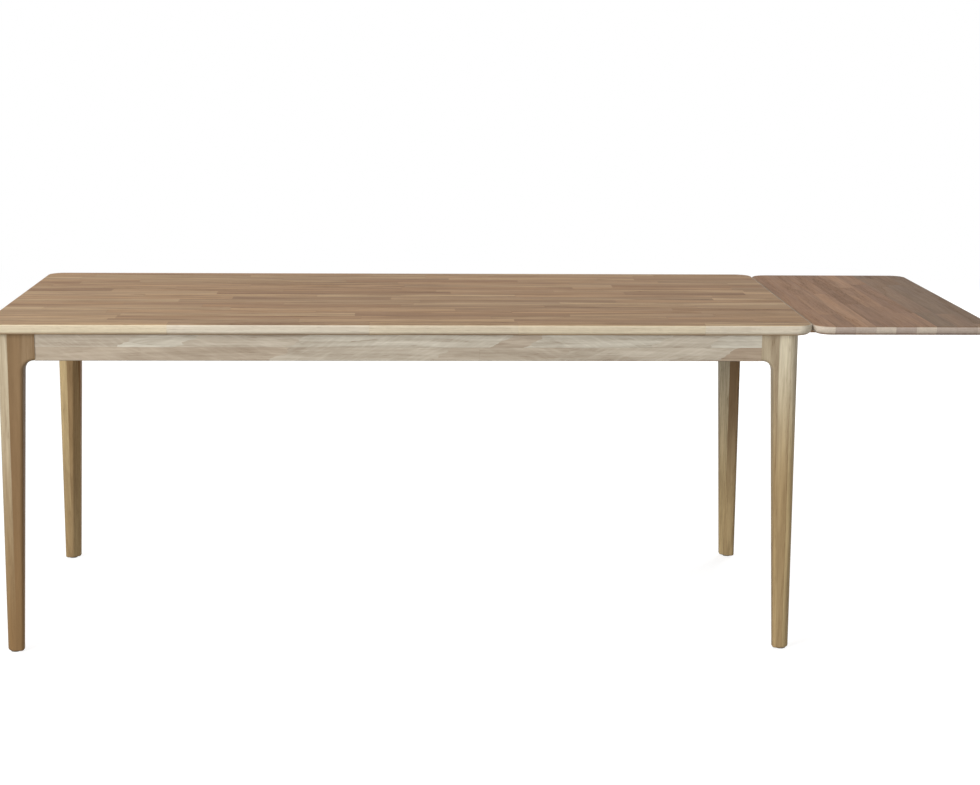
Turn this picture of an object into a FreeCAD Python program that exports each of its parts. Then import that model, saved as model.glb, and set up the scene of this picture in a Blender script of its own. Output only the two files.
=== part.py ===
"""Draw leaf table: oak top on four tapered legs, with an end leaf on two sliding bearers.

Frame: +X runs along the table towards the leaf, +Y to the rear, +Z up. The origin lies on the
floor under the middle of the table with its leaf on. Sizes are in millimetres.
"""
import FreeCAD, Part
import os
import Sketcher
from FreeCAD import Placement, Rotation, Vector

doc = FreeCAD.newDocument("draw_leaf_table")
sheet = doc.addObject("Spreadsheet::Sheet", "Sizes")

SIZES = (
    ("table_height", 740, "floor to the upper face of the top"),
    ("top_length", 1800, "length of the fixed top"),
    ("top_width", 900, "width of the top and of the leaf"),
    ("top_thickness", 24, "thickness of the fixed top"),
    ("plan_corner_radius", 40, "corners of the top and the leaf, seen from above"),
    ("edge_upper_radius", 5, "upper rounding of the edges"),
    ("edge_lower_radius", 15, "lower rounding of the edges"),
    ("leaf_length", 400, "what the leaf adds to the table"),
    ("leaf_thickness", 20, "thickness of the leaf"),
    ("leaf_gap", 1, "seam between the top and the leaf"),
    ("leaf_drop", 2, "how far the leaf lies below the top"),
    ("leg_inset", 28, "overhang of the top past the legs"),
    ("leg_head_width", 82, "leg at the aprons, wings included"),
    ("leg_top_width", 56, "leg just under the aprons"),
    ("leg_foot_width", 37, "leg at the floor"),
    ("leg_wing_radius", 25, "curve under the wings of a leg"),
    ("leg_outer_radius", 20, "outer arris of a leg"),
    ("leg_edge_radius", 8, "arrises between the outer and inner faces of a leg"),
    ("leg_inner_chamfer", 17, "facet along the inner arris of a leg"),
    ("leg_inner_radius", 6, "both sides of that facet"),
    ("foot_edge_radius", 4, "rounding round the foot"),
    ("rounding_margin", 1, "flat that a rounding leaves beside it"),
    ("glide_diameter", 22, "glide under a foot"),
    ("glide_thickness", 3, "glide under a foot"),
    ("glide_chamfer", 1, "lower rim of a glide"),
    ("nail_diameter", 2, "shank of a glide nail"),
    ("nail_head_diameter", 4.5, "head of a glide nail"),
    ("nail_length", 18, "glide nail with its head"),
    ("apron_height", 60, "height of the aprons"),
    ("apron_thickness", 22, "thickness of the aprons"),
    ("apron_setback", 2, "leg face proud of the apron"),
    ("apron_edge_radius", 2, "lower arrises of the aprons"),
    ("tenon_length", 25, "apron tenons"),
    ("tenon_thickness", 10, "apron tenons"),
    ("tenon_shoulder", 9, "apron tenons, above and below"),
    ("joint_clearance", 0.1, "glue gap round tenons, dowels and screws"),
    ("groove_depth", 8, "clip groove in the aprons"),
    ("groove_height", 4, "clip groove in the aprons"),
    ("groove_drop", 10, "clip groove below the top"),
    ("cross_rail_thickness", 24, "rails between the long aprons"),
    ("cross_rail_height", 44, "rails between the long aprons"),
    ("cross_rail_tenon", 10, "stub tenons of the cross rails"),
    ("left_rail_offset", 330, "left cross rail from the middle of the top"),
    ("corner_block_thickness", 24, "block across a frame corner"),
    ("corner_block_height", 40, "block across a frame corner"),
    ("corner_block_gap", 2, "between a corner block and the leg"),
    ("bolt_diameter", 8, "bolt that draws a leg into its corner"),
    ("bolt_grip", 36, "bolt inside the leg"),
    ("bolt_chamfer", 1, "free end of a leg bolt"),
    ("bolt_end", 4, "leg bolt past its nut"),
    ("nut_width", 13, "across the flats"),
    ("nut_height", 6.5, "leg bolt nut"),
    ("washer_diameter", 22, "leg bolt washer"),
    ("washer_thickness", 2, "leg bolt washer"),
    ("clip_thickness", 2, "bent steel clip"),
    ("clip_width", 20, "bent steel clip"),
    ("clip_flange", 24, "clip flange under the top"),
    ("clip_tongue", 6, "clip tongue in the groove"),
    ("clip_riser_gap", 1, "clip riser to apron"),
    ("clip_corner_offset", 95, "outer clips from the corner blocks"),
    ("end_clip_spacing", 300, "between the clips of the left end apron"),
    ("screw_diameter", 4, "all wood screws"),
    ("screw_head_diameter", 8, "all wood screws"),
    ("screw_head_height", 2.5, "all wood screws"),
    ("screw_bite", 12, "thread held by the top or the leaf"),
    ("pilot_spare", 1, "hole deeper than its screw"),
    ("bearer_inset", 265, "middle of a bearer from the edge of the top"),
    ("bearer_width", 40, "leaf bearer"),
    ("bearer_height", 28, "leaf bearer below the top"),
    ("bearer_inside", 430, "bearer inside the end apron"),
    ("bearer_setback", 30, "bearer short of the leaf's outer edge"),
    ("bearer_bevel_length", 60, "bevel at the bearer's outer end"),
    ("bearer_bevel_height", 16, "bevel at the bearer's outer end"),
    ("bearer_step_offset", 12, "step of the bearer from the seam"),
    ("bearer_screw_margin", 45, "end screws from the step and the bevel"),
    ("draw_travel", 300, "how far the leaf draws out"),
    ("peg_diameter", 10, "stop peg under a bearer"),
    ("peg_depth", 20, "stop peg inside the bearer"),
    ("peg_drop", 12, "stop peg below the bearer"),
    ("run_clearance", 0.5, "bearer under the top and beside the guides"),
    ("rest_clearance", 0.3, "bearer above the guide lips"),
    ("guide_web", 14, "side of a guide rail"),
    ("guide_lip", 10, "lip of a guide rail under the bearer"),
    ("guide_lip_thickness", 8, "lip of a guide rail"),
    ("guide_end_gap", 6, "bearer end to cross rail"),
    ("guide_screw_margin", 40, "end screws from the ends of a guide rail"),
    ("notch_clearance", 1, "bearer in the end apron"),
    ("dowel_diameter", 10, "locating dowel of the leaf"),
    ("dowel_length", 38, "locating dowel of the leaf"),
    ("dowel_reach", 16, "dowel standing out of the leaf"),
    ("dowel_catch_offset", 45, "outer dowels outside the catches"),
    ("dowel_end_gap", 1, "dowel to the bottom of its socket"),
    ("dowel_clearance", 0.3, "dowel in the top"),
    ("dowel_chamfer", 2, "dowel ends"),
    ("catch_side_gap", 24, "released hook to bearer"),
    ("catch_clearance", 1.5, "released hook to end apron"),
    ("catch_reach", 39, "catch pivot to keeper pin"),
    ("catch_thickness", 3, "catch hook"),
    ("catch_bar_width", 8, "catch hook"),
    ("catch_play", 1.2, "hook to keeper pin when shut"),
    ("catch_spacer_height", 4, "spacer above the hook"),
    ("catch_spacer_diameter", 10, "spacer above the hook"),
    ("pivot_diameter", 6, "shank of a catch pivot screw"),
    ("pivot_clearance", 0.05, "hook round its pivot"),
    ("pivot_head_diameter", 12, "head of a catch pivot screw"),
    ("pivot_head_height", 3, "head of a catch pivot screw"),
    ("pivot_end_play", 0.3, "hook between spacer and screw head"),
    ("keeper_diameter", 6, "keeper pin under the leaf"),
    ("keeper_depth", 12, "keeper pin inside the leaf"),
    ("keeper_drop", 12, "keeper pin below the leaf"),
)
for row, (alias, value, note) in enumerate(SIZES, start=1):
    sheet.set(f"A{row}", note)
    sheet.set(f"B{row}", str(value))
    sheet.setAlias(f"B{row}", alias)
doc.recompute()

# Places that several pieces share, written as expressions of the sizes.
TOP_MID_X = "(-(Sizes.leaf_gap + Sizes.leaf_length) / 2)"
HALF_TOP = "(Sizes.top_length / 2)"
TOP_END_X = f"({TOP_MID_X} + {HALF_TOP})"
TOP_UNDERSIDE = "(Sizes.table_height - Sizes.top_thickness)"
LEAF_START_X = f"({TOP_END_X} + Sizes.leaf_gap)"
LEAF_UNDERSIDE = "(Sizes.table_height - Sizes.leaf_drop - Sizes.leaf_thickness)"
LEAF_MID_X = f"({LEAF_START_X} + Sizes.leaf_length / 2)"
LEG_HALF_X = f"({HALF_TOP} - Sizes.leg_inset)"
LEG_HALF_Y = "(Sizes.top_width / 2 - Sizes.leg_inset)"
APRON_BOTTOM = f"({TOP_UNDERSIDE} - Sizes.apron_height)"
APRON_INNER = "(Sizes.apron_setback + Sizes.apron_thickness)"
END_APRON_INNER_X = f"({TOP_MID_X} + {LEG_HALF_X} - {APRON_INNER})"
GUIDE_START_X = f"({END_APRON_INNER_X} - Sizes.bearer_inside - Sizes.guide_end_gap)"
RIGHT_RAIL_X = f"({GUIDE_START_X} - Sizes.cross_rail_thickness / 2)"
LEFT_RAIL_X = f"({TOP_MID_X} - Sizes.left_rail_offset)"
RUN_TOP = f"min({TOP_UNDERSIDE} - Sizes.run_clearance; {LEAF_UNDERSIDE} - Sizes.run_clearance)"
BEARER_BOTTOM = f"({RUN_TOP} - Sizes.bearer_height)"
CHANNEL_DEPTH = f"({TOP_UNDERSIDE} - {BEARER_BOTTOM} + Sizes.rest_clearance)"
BEARER_Y = "(Sizes.top_width / 2 - Sizes.bearer_inset)"
GUIDE_HEIGHT = f"({CHANNEL_DEPTH} + Sizes.guide_lip_thickness)"
CHANNEL_HALF = "(Sizes.bearer_width / 2 + Sizes.run_clearance)"
GUIDE_MID = f"({CHANNEL_HALF} + Sizes.guide_web / 2)"
DOWEL_Z = f"({LEAF_UNDERSIDE} + Sizes.leaf_thickness / 2)"
PIN_SIDE = "(Sizes.keeper_diameter / 2 + Sizes.catch_play)"
HOOK_SIDE = f"({PIN_SIDE} + Sizes.catch_bar_width)"
HOOK_TIP = f"(Sizes.catch_reach + {HOOK_SIDE})"
CATCH_X = f"({TOP_MID_X} + {LEG_HALF_X} - Sizes.apron_setback + Sizes.catch_clearance + {HOOK_SIDE})"
CATCH_Y = f"({BEARER_Y} + Sizes.bearer_width / 2 + Sizes.catch_side_gap + {HOOK_TIP})"
DOWEL_Y = f"({CATCH_Y} + Sizes.dowel_catch_offset)"
KEEPER_X = f"({CATCH_X} + Sizes.catch_reach)"
CATCH_TOP = f"({TOP_UNDERSIDE} - Sizes.catch_spacer_height - Sizes.pivot_end_play)"
SCREW_HOLE_RADIUS = "(Sizes.screw_diameter / 2 + Sizes.joint_clearance)"
BEARER_STEP_X = f"({LEAF_START_X} + Sizes.bearer_step_offset)"
BEARER_END_X = f"({LEAF_START_X} + Sizes.leaf_length - Sizes.bearer_setback)"
BEARER_START_X = f"({END_APRON_INNER_X} - Sizes.bearer_inside)"
BEVEL_START_X = f"({BEARER_END_X} - Sizes.bearer_bevel_length)"
BEARER_SCREW_X = (f"({BEARER_STEP_X} + Sizes.bearer_screw_margin)",
                  f"(({BEARER_STEP_X} + {BEVEL_START_X}) / 2)",
                  f"({BEVEL_START_X} - Sizes.bearer_screw_margin)")
PEG_X = f"({END_APRON_INNER_X} - Sizes.draw_travel - Sizes.peg_diameter / 2 - Sizes.rest_clearance)"
GUIDE_LENGTH = "(Sizes.bearer_inside + Sizes.guide_end_gap)"
GUIDE_SCREW_X = ("Sizes.guide_screw_margin",
                 f"({GUIDE_LENGTH} / 2)",
                 f"({GUIDE_LENGTH} - Sizes.guide_screw_margin)")
WING_RADIUS = "min(Sizes.leg_wing_radius; Sizes.leg_head_width - Sizes.leg_top_width - Sizes.rounding_margin)"
TENON_START = "((Sizes.apron_thickness - Sizes.tenon_thickness) / 2)"
TENON_HEIGHT = "(Sizes.apron_height - 2 * Sizes.tenon_shoulder)"
GROOVE_START = "(Sizes.apron_thickness - Sizes.groove_depth)"
GROOVE_Z = "(Sizes.apron_height - Sizes.groove_drop - Sizes.groove_height)"
CROSS_RAILS = (("cross_rail_left", LEFT_RAIL_X), ("cross_rail_right", RIGHT_RAIL_X))
CROSS_TENON_HEIGHT = "(Sizes.cross_rail_height - 2 * Sizes.tenon_shoulder)"
CROSS_TENON_Z = f"({TOP_UNDERSIDE} - Sizes.cross_rail_height + Sizes.tenon_shoulder)"
LEG_CORNER = "(sqrt(2) * Sizes.leg_head_width)"
BLOCK_NEAR = f"({LEG_CORNER} + Sizes.corner_block_gap)"
BLOCK_FAR = f"({BLOCK_NEAR} + Sizes.corner_block_thickness)"
BOLT_START = f"(({LEG_CORNER} - Sizes.bolt_grip) / sqrt(2))"
BOLT_Z = f"({TOP_UNDERSIDE} - Sizes.apron_height / 2)"
BOLT_HOLE_RADIUS = "(Sizes.bolt_diameter / 2 + Sizes.joint_clearance)"
BOLT_LENGTH = (f"({BLOCK_FAR} - {LEG_CORNER} + Sizes.bolt_grip + Sizes.washer_thickness"
               " + Sizes.nut_height + Sizes.bolt_end)")
BLOCK_END = f"(sqrt(2) * {BLOCK_FAR} - {APRON_INNER})"
CLIP_SCREW_IN = "(Sizes.clip_flange / 2 + Sizes.clip_thickness)"
FOOT_MIDDLE = "((2 * Sizes.leg_foot_width - Sizes.leg_inner_chamfer) / (2 + sqrt(2)))"
NAIL_HOLE_RADIUS = "(Sizes.nail_diameter / 2 + Sizes.joint_clearance)"
PILOT_DEPTH = "(Sizes.screw_bite + Sizes.pilot_spare)"
PIVOT_HOLE_RADIUS = "(Sizes.pivot_diameter / 2 + Sizes.joint_clearance)"
DOWEL_GRIP = "(Sizes.dowel_length - Sizes.dowel_reach)"
DOWEL_SOCKET_DEPTH = "(Sizes.dowel_reach - Sizes.leaf_gap + Sizes.dowel_end_gap)"
TOWARDS_TABLE = Rotation(Vector(0, 0, 1), Vector(-1, 0, 0))
TOWARDS_LEAF = Rotation(Vector(0, 0, 1), Vector(1, 0, 0))
SIDES = (("front", -1), ("rear", 1))
ENDS = (("left", -1), ("right", 1))
CORNERS = [(side, y_sign, end, x_sign) for side, y_sign in SIDES for end, x_sign in ENDS]
TOLERANCE = 0.01
NODES = []


def number(expression):
    """Value of an expression of the sizes."""
    return float(sheet.evalExpression(str(expression)))


def bind(thing, bindings):
    """Tie properties of a document object to expressions."""
    for path, expression in bindings.items():
        thing.setExpression(path, str(expression))


def place(thing, x="0", y="0", z="0", turn=None):
    """Tie an object's position to expressions and set its turn."""
    if turn is not None:
        thing.Placement = Placement(Vector(), turn)
    bind(thing, {"Placement.Base.x": x, "Placement.Base.y": y, "Placement.Base.z": z})
    return thing


def node(thing, label):
    """Name an object as a piece of the table."""
    thing.Label = label
    NODES.append(thing)
    return thing


def new_body(label, x="0", y="0", z="0"):
    """Empty body whose own origin stands at the given place."""
    return place(doc.addObject("PartDesign::Body", label), x, y, z)


def origin_plane(body, role):
    """One of a body's own origin planes."""
    return [plane for plane in body.Origin.OriginFeatures if plane.Role == role][0]


def new_sketch(body, name, role, offset="0"):
    """Sketch on an origin plane, moved along its normal."""
    sketch = body.newObject("Sketcher::SketchObject", name)
    sketch.AttachmentSupport = [(origin_plane(body, role), "")]
    sketch.MapMode = "FlatFace"
    bind(sketch, {"AttachmentOffset.Base.z": offset})
    return sketch


def fix_point(sketch, geometry, end, label, x, y):
    """Hold one point of a sketch at a place given by expressions."""
    for kind, axis, expression in (("DistanceX", "x", x), ("DistanceY", "y", y)):
        index = sketch.addConstraint(
            Sketcher.Constraint(kind, -1, 1, geometry, end, number(expression)))
        sketch.renameConstraint(index, f"{label}_{axis}")
        bind(sketch, {f"Constraints.{label}_{axis}": expression})


def polygon(body, name, role, corners, offset="0"):
    """Closed outline through corners given as pairs of expressions."""
    sketch = new_sketch(body, name, role, offset)
    spots = [Vector(number(x), number(y), 0) for x, y in corners]
    count = len(spots)
    for index in range(count):
        sketch.addGeometry(Part.LineSegment(spots[index], spots[(index + 1) % count]), False)
    for index in range(count):
        sketch.addConstraint(Sketcher.Constraint("Coincident", index, 2, (index + 1) % count, 1))
    for index, (x, y) in enumerate(corners):
        fix_point(sketch, index, 1, f"corner{index}", x, y)
    return sketch


def circles(body, name, role, centres, radius, offset="0"):
    """Circles of one radius round centres given as pairs of expressions."""
    sketch = new_sketch(body, name, role, offset)
    for index, (x, y) in enumerate(centres):
        middle = Vector(number(x), number(y), 0)
        sketch.addGeometry(Part.Circle(middle, Vector(0, 0, 1), number(radius)), False)
        fix_point(sketch, index, 3, f"centre{index}", x, y)
        rule = sketch.addConstraint(Sketcher.Constraint("Radius", index, number(radius)))
        sketch.renameConstraint(rule, f"radius{index}")
        bind(sketch, {f"Constraints.radius{index}": radius})
    return sketch


def pad(body, sketch, length, backwards=False, centred=False):
    """Raise a sketch into a solid."""
    feature = body.newObject("PartDesign::Pad", sketch.Name + "_pad")
    feature.Profile = sketch
    feature.Reversed = backwards
    feature.Midplane = centred
    bind(feature, {"Length": length})
    doc.recompute()
    return feature


def pocket(body, sketch, depth, backwards=False):
    """Sink a sketch into the solid."""
    feature = body.newObject("PartDesign::Pocket", sketch.Name + "_pocket")
    feature.Profile = sketch
    feature.Reversed = backwards
    bind(feature, {"Length": depth})
    doc.recompute()
    return feature


def pocket_through(body, sketch):
    """Cut a sketch right through, both ways."""
    feature = body.newObject("PartDesign::Pocket", sketch.Name + "_pocket")
    feature.Profile = sketch
    feature.Type = "ThroughAll"
    feature.Midplane = True
    doc.recompute()
    return feature


def turned(body, corners):
    """Solid of revolution about the body's own Z axis."""
    sketch = polygon(body, body.Name + "_half", "XZ_Plane", corners)
    feature = body.newObject("PartDesign::Revolution", body.Name + "_turned")
    feature.Profile = sketch
    feature.ReferenceAxis = (sketch, ["V_Axis"])
    feature.Angle = 360
    doc.recompute()
    return feature


def box(body, kind, name, size, corner):
    """Block added to or taken from a body, from its lowest corner."""
    feature = body.newObject(f"PartDesign::{kind}Box", name)
    bind(feature, dict(zip(("Length", "Width", "Height"), size)))
    place(feature, *corner)
    doc.recompute()
    return feature


def drill(body, name, radius, depth, start, turn=None):
    """Round hole from a start point along the turned Z axis."""
    feature = body.newObject("PartDesign::SubtractiveCylinder", name)
    bind(feature, {"Radius": radius, "Height": depth})
    place(feature, *start, turn=turn)
    doc.recompute()
    return feature


def edge_names(shape, wanted):
    """Names of those edges of a shape that the given test picks."""
    return [f"Edge{index}" for index, edge in enumerate(shape.Edges, start=1) if wanted(edge)]


def rounding(body, name, radius, wanted):
    """Round those edges of a body that the given test picks."""
    base = body.Tip
    picked = edge_names(base.Shape, wanted)
    feature = body.newObject("PartDesign::Fillet", name)
    feature.Base = (base, picked)
    bind(feature, {"Radius": radius})
    doc.recompute()
    return feature


def facet(body, name, size, wanted):
    """Plane off those edges of a body that the given test picks."""
    base = body.Tip
    picked = edge_names(base.Shape, wanted)
    feature = body.newObject("PartDesign::Chamfer", name)
    feature.Base = (base, picked)
    bind(feature, {"Size": size})
    doc.recompute()
    return feature


def is_upright(edge):
    """True for a straight edge along Z."""
    box_of_edge = edge.BoundBox
    return box_of_edge.XLength < TOLERANCE and box_of_edge.YLength < TOLERANCE


def lies_at_height(height):
    """Test for edges that lie flat at a height of the body."""
    level = number(height)

    def test(edge):
        return abs(edge.BoundBox.ZMin - level) < TOLERANCE and abs(edge.BoundBox.ZMax - level) < TOLERANCE
    return test


def copies(master, spots):
    """Copies of a master at places given as (x, y, z, turn)."""
    made = []
    for x, y, z, turn in spots:
        link = doc.addObject("App::Link", master.Name + "_copy")
        link.LinkedObject = master
        made.append(place(link, x, y, z, turn))
    return made


def group(label, master, spots):
    """Like pieces that stay apart, kept under one name."""
    bunch = doc.addObject("Part::Compound", label)
    bunch.Links = copies(master, spots)
    doc.recompute()
    return node(bunch, label)


def screw(name, length):
    """Wood screw that points up from the underside of its head."""
    body = new_body(name)
    shank = "(Sizes.screw_diameter / 2)"
    head = "(Sizes.screw_head_diameter / 2)"
    turned(body, [("0", "-Sizes.screw_head_height"), (head, "-Sizes.screw_head_height"), (head, "0"),
                  (shank, "0"), (shank, length), ("0", length)])
    return body


def panel(label, length, thickness, x, z):
    """Board with rounded corners and rounded edges."""
    body = new_body(label, x=x, z=z)
    half_length = f"({length} / 2)"
    half_width = "(Sizes.top_width / 2)"
    outline = polygon(body, label + "_outline", "XY_Plane",
                      [("-" + half_length, "-" + half_width), (half_length, "-" + half_width),
                       (half_length, half_width), ("-" + half_length, half_width)])
    pad(body, outline, thickness)
    rounding(body, label + "_corners", "Sizes.plan_corner_radius", is_upright)
    rounding(body, label + "_upper_edge", "Sizes.edge_upper_radius", lies_at_height(thickness))
    room_below = f"({thickness} - Sizes.edge_upper_radius - Sizes.rounding_margin)"
    rounding(body, label + "_lower_edge", f"min(Sizes.edge_lower_radius; {room_below})", lies_at_height("0"))
    return node(body, label)


def band(sign, start, width):
    """Lower bound of a strip that begins inside an outer face on the given side."""
    return f"({start})" if sign < 0 else f"(-({start}) - ({width}))"


def reach(edge):
    """Largest distances of an edge from the body's own upright axis."""
    bounds = edge.BoundBox
    return max(abs(bounds.XMin), abs(bounds.XMax)), max(abs(bounds.YMin), abs(bounds.YMax))


def leg_place(x_sign, y_sign, inset="0"):
    """Place on a leg's diagonal, the same distance in from both outer faces."""
    return (f"({TOP_MID_X} + {x_sign} * ({LEG_HALF_X} - {inset}))",
            f"({y_sign} * ({LEG_HALF_Y} - {inset}))")


def leg_profile(sign):
    """Outline of a leg face, from the outer arris inwards."""
    head = f"(-({sign}) * Sizes.leg_head_width)"
    return [("0", "Sizes.glide_thickness"), ("0", TOP_UNDERSIDE), (head, TOP_UNDERSIDE), (head, APRON_BOTTOM),
            (f"(-({sign}) * Sizes.leg_top_width)", APRON_BOTTOM),
            (f"(-({sign}) * Sizes.leg_foot_width)", "Sizes.glide_thickness")]


def round_leg(body):
    """Soften a leg: inner facet and its sides, wing curves, face arrises, outer arris, foot."""
    inner = number("Sizes.leg_top_width")
    under = number(APRON_BOTTOM)
    half_height = number("Sizes.table_height") / 2
    at_under = lies_at_height(APRON_BOTTOM)

    def inner_arris(edge):
        return edge.BoundBox.ZLength > half_height and abs(min(reach(edge)) - inner) < TOLERANCE

    def facet_side(edge):
        near, far = sorted(reach(edge))
        return edge.BoundBox.ZLength > half_height and near > TOLERANCE and abs(far - inner) < TOLERANCE

    def under_wing(edge):
        return at_under(edge) and max(reach(edge)) < inner + TOLERANCE

    def face_arris(edge):
        bounds = edge.BoundBox
        return (min(reach(edge)) < TOLERANCE < max(reach(edge)) and bounds.ZMax < under + TOLERANCE
                and bounds.ZLength > TOLERANCE)

    def outer_arris(edge):
        return is_upright(edge) and max(reach(edge)) < TOLERANCE

    facet(body, body.Name + "_inner_facet", "Sizes.leg_inner_chamfer", inner_arris)
    rounding(body, body.Name + "_facet_sides", "Sizes.leg_inner_radius", facet_side)
    rounding(body, body.Name + "_wing_curves", WING_RADIUS, under_wing)
    rounding(body, body.Name + "_face_arrises", "Sizes.leg_edge_radius", face_arris)
    rounding(body, body.Name + "_outer_arris", "Sizes.leg_outer_radius", outer_arris)
    rounding(body, body.Name + "_foot", "Sizes.foot_edge_radius", lies_at_height("Sizes.glide_thickness"))


def add_leg(label, x_sign, y_sign):
    """Leg sawn to one curve on both inner faces, with its outer faces upright."""
    body = new_body(label, *leg_place(x_sign, y_sign))
    face = polygon(body, label + "_face", "XZ_Plane", leg_profile(x_sign))
    pad(body, face, "Sizes.leg_head_width", backwards=y_sign < 0)
    waste_edge = f"(-({y_sign}) * (Sizes.leg_head_width + Sizes.leg_foot_width))"
    waste_corners = [(waste_edge, "Sizes.glide_thickness"), (waste_edge, APRON_BOTTOM)]
    waste = polygon(body, label + "_waste", "YZ_Plane", leg_profile(y_sign)[4:] + waste_corners)
    pocket_through(body, waste)
    round_leg(body)
    depth = "(Sizes.tenon_length + Sizes.joint_clearance)"
    slot = "(Sizes.tenon_thickness + 2 * Sizes.joint_clearance)"
    slot_start = f"(Sizes.apron_setback + {TENON_START} - Sizes.joint_clearance)"
    depth_start = f"(Sizes.leg_head_width - {depth})"
    height = f"({TENON_HEIGHT} + 2 * Sizes.joint_clearance)"
    bottom = f"({APRON_BOTTOM} + Sizes.tenon_shoulder - Sizes.joint_clearance)"
    box(body, "Subtractive", label + "_long_mortise", (depth, slot, height),
        (band(x_sign, depth_start, depth), band(y_sign, slot_start, slot), bottom))
    box(body, "Subtractive", label + "_end_mortise", (slot, depth, height),
        (band(x_sign, slot_start, slot), band(y_sign, depth_start, depth), bottom))
    drill(body, label + "_bolt_hole", BOLT_HOLE_RADIUS, "(Sizes.bolt_grip + Sizes.leg_head_width)",
          (f"(-({x_sign}) * {BOLT_START})", f"(-({y_sign}) * {BOLT_START})", BOLT_Z),
          Rotation(Vector(0, 0, 1), Vector(-x_sign, -y_sign, 0)))
    drill(body, label + "_nail_hole", NAIL_HOLE_RADIUS, "Sizes.nail_length",
          (f"(-({x_sign}) * {FOOT_MIDDLE})", f"(-({y_sign}) * {FOOT_MIDDLE})", "Sizes.glide_thickness"))
    return node(body, label)


def lower_arris(edge):
    """Long lower edges of an apron."""
    bounds = edge.BoundBox
    return bounds.ZMax < TOLERANCE and max(bounds.XLength, bounds.YLength) > number("Sizes.apron_height")


def add_long_apron(label, y_sign):
    """Apron between the legs of one long side, with tenons, clip groove and rail mortises."""
    body = new_body(label, TOP_MID_X, f"({y_sign} * ({LEG_HALF_Y} - Sizes.apron_setback))", APRON_BOTTOM)
    length = f"(2 * ({LEG_HALF_X} - Sizes.leg_head_width))"
    full = f"({length} + 2 * Sizes.tenon_length)"
    box(body, "Additive", label + "_rail", (length, "Sizes.apron_thickness", "Sizes.apron_height"),
        (f"(-{length} / 2)", band(y_sign, "0", "Sizes.apron_thickness"), "0"))
    rounding(body, label + "_lower_arris", "Sizes.apron_edge_radius", lower_arris)
    box(body, "Additive", label + "_tenons", (full, "Sizes.tenon_thickness", TENON_HEIGHT),
        (f"(-{full} / 2)", band(y_sign, TENON_START, "Sizes.tenon_thickness"), "Sizes.tenon_shoulder"))
    box(body, "Subtractive", label + "_groove", (length, "Sizes.groove_depth", "Sizes.groove_height"),
        (f"(-{length} / 2)", band(y_sign, GROOVE_START, "Sizes.groove_depth"), GROOVE_Z))
    slot = "(Sizes.cross_rail_thickness / 2 + 2 * Sizes.joint_clearance)"
    depth = "(Sizes.cross_rail_tenon + Sizes.joint_clearance)"
    for rail, rail_x in CROSS_RAILS:
        box(body, "Subtractive", f"{label}_{rail}_mortise",
            (slot, depth, f"({CROSS_TENON_HEIGHT} + 2 * Sizes.joint_clearance)"),
            (f"({rail_x} - {TOP_MID_X} - {slot} / 2)",
             band(y_sign, f"(Sizes.apron_thickness - {depth})", depth),
             f"({CROSS_TENON_Z} - {APRON_BOTTOM} - Sizes.joint_clearance)"))
    return node(body, label)


def add_end_apron(label, x_sign):
    """Apron between the legs of one end, with tenons and clip groove."""
    face_x = f"({TOP_MID_X} + {x_sign} * ({LEG_HALF_X} - Sizes.apron_setback))"
    body = new_body(label, face_x, "0", APRON_BOTTOM)
    length = f"(2 * ({LEG_HALF_Y} - Sizes.leg_head_width))"
    full = f"({length} + 2 * Sizes.tenon_length)"
    box(body, "Additive", label + "_rail", ("Sizes.apron_thickness", length, "Sizes.apron_height"),
        (band(x_sign, "0", "Sizes.apron_thickness"), f"(-{length} / 2)", "0"))
    rounding(body, label + "_lower_arris", "Sizes.apron_edge_radius", lower_arris)
    box(body, "Additive", label + "_tenons", ("Sizes.tenon_thickness", full, TENON_HEIGHT),
        (band(x_sign, TENON_START, "Sizes.tenon_thickness"), f"(-{full} / 2)", "Sizes.tenon_shoulder"))
    box(body, "Subtractive", label + "_groove", ("Sizes.groove_depth", length, "Sizes.groove_height"),
        (band(x_sign, GROOVE_START, "Sizes.groove_depth"), f"(-{length} / 2)", GROOVE_Z))
    return node(body, label)


def add_cross_rail(label, rail_x):
    """Rail between the long aprons, with stub tenons."""
    body = new_body(label, rail_x, "0", f"({TOP_UNDERSIDE} - Sizes.cross_rail_height)")
    length = f"(2 * ({LEG_HALF_Y} - {APRON_INNER}))"
    full = f"({length} + 2 * Sizes.cross_rail_tenon)"
    slim = "(Sizes.cross_rail_thickness / 2)"
    box(body, "Additive", label + "_rail", ("Sizes.cross_rail_thickness", length, "Sizes.cross_rail_height"),
        ("(-Sizes.cross_rail_thickness / 2)", f"(-{length} / 2)", "0"))
    box(body, "Additive", label + "_tenons", (slim, full, CROSS_TENON_HEIGHT),
        (f"(-{slim} / 2)", f"(-{full} / 2)", "Sizes.tenon_shoulder"))
    return node(body, label)


def add_corner_block(label, x_sign, y_sign):
    """Block set across a corner of the frame, drilled for the leg bolt."""
    body = new_body(label, *leg_place(x_sign, y_sign), f"({BOLT_Z} - Sizes.corner_block_height / 2)")
    near = f"(sqrt(2) * {BLOCK_NEAR} - {APRON_INNER})"
    plan = [(near, APRON_INNER), (BLOCK_END, APRON_INNER), (APRON_INNER, BLOCK_END), (APRON_INNER, near)]
    outline = polygon(body, label + "_plan", "XY_Plane",
                      [(f"(-({x_sign}) * {u})", f"(-({y_sign}) * {v})") for u, v in plan])
    pad(body, outline, "Sizes.corner_block_height")
    drill(body, label + "_bolt_hole", BOLT_HOLE_RADIUS, "(2 * Sizes.leg_head_width)",
          (f"(-({x_sign}) * {BOLT_START})", f"(-({y_sign}) * {BOLT_START})",
           "(Sizes.corner_block_height / 2)"),
          Rotation(Vector(0, 0, 1), Vector(-x_sign, -y_sign, 0)))
    return node(body, label)


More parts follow.
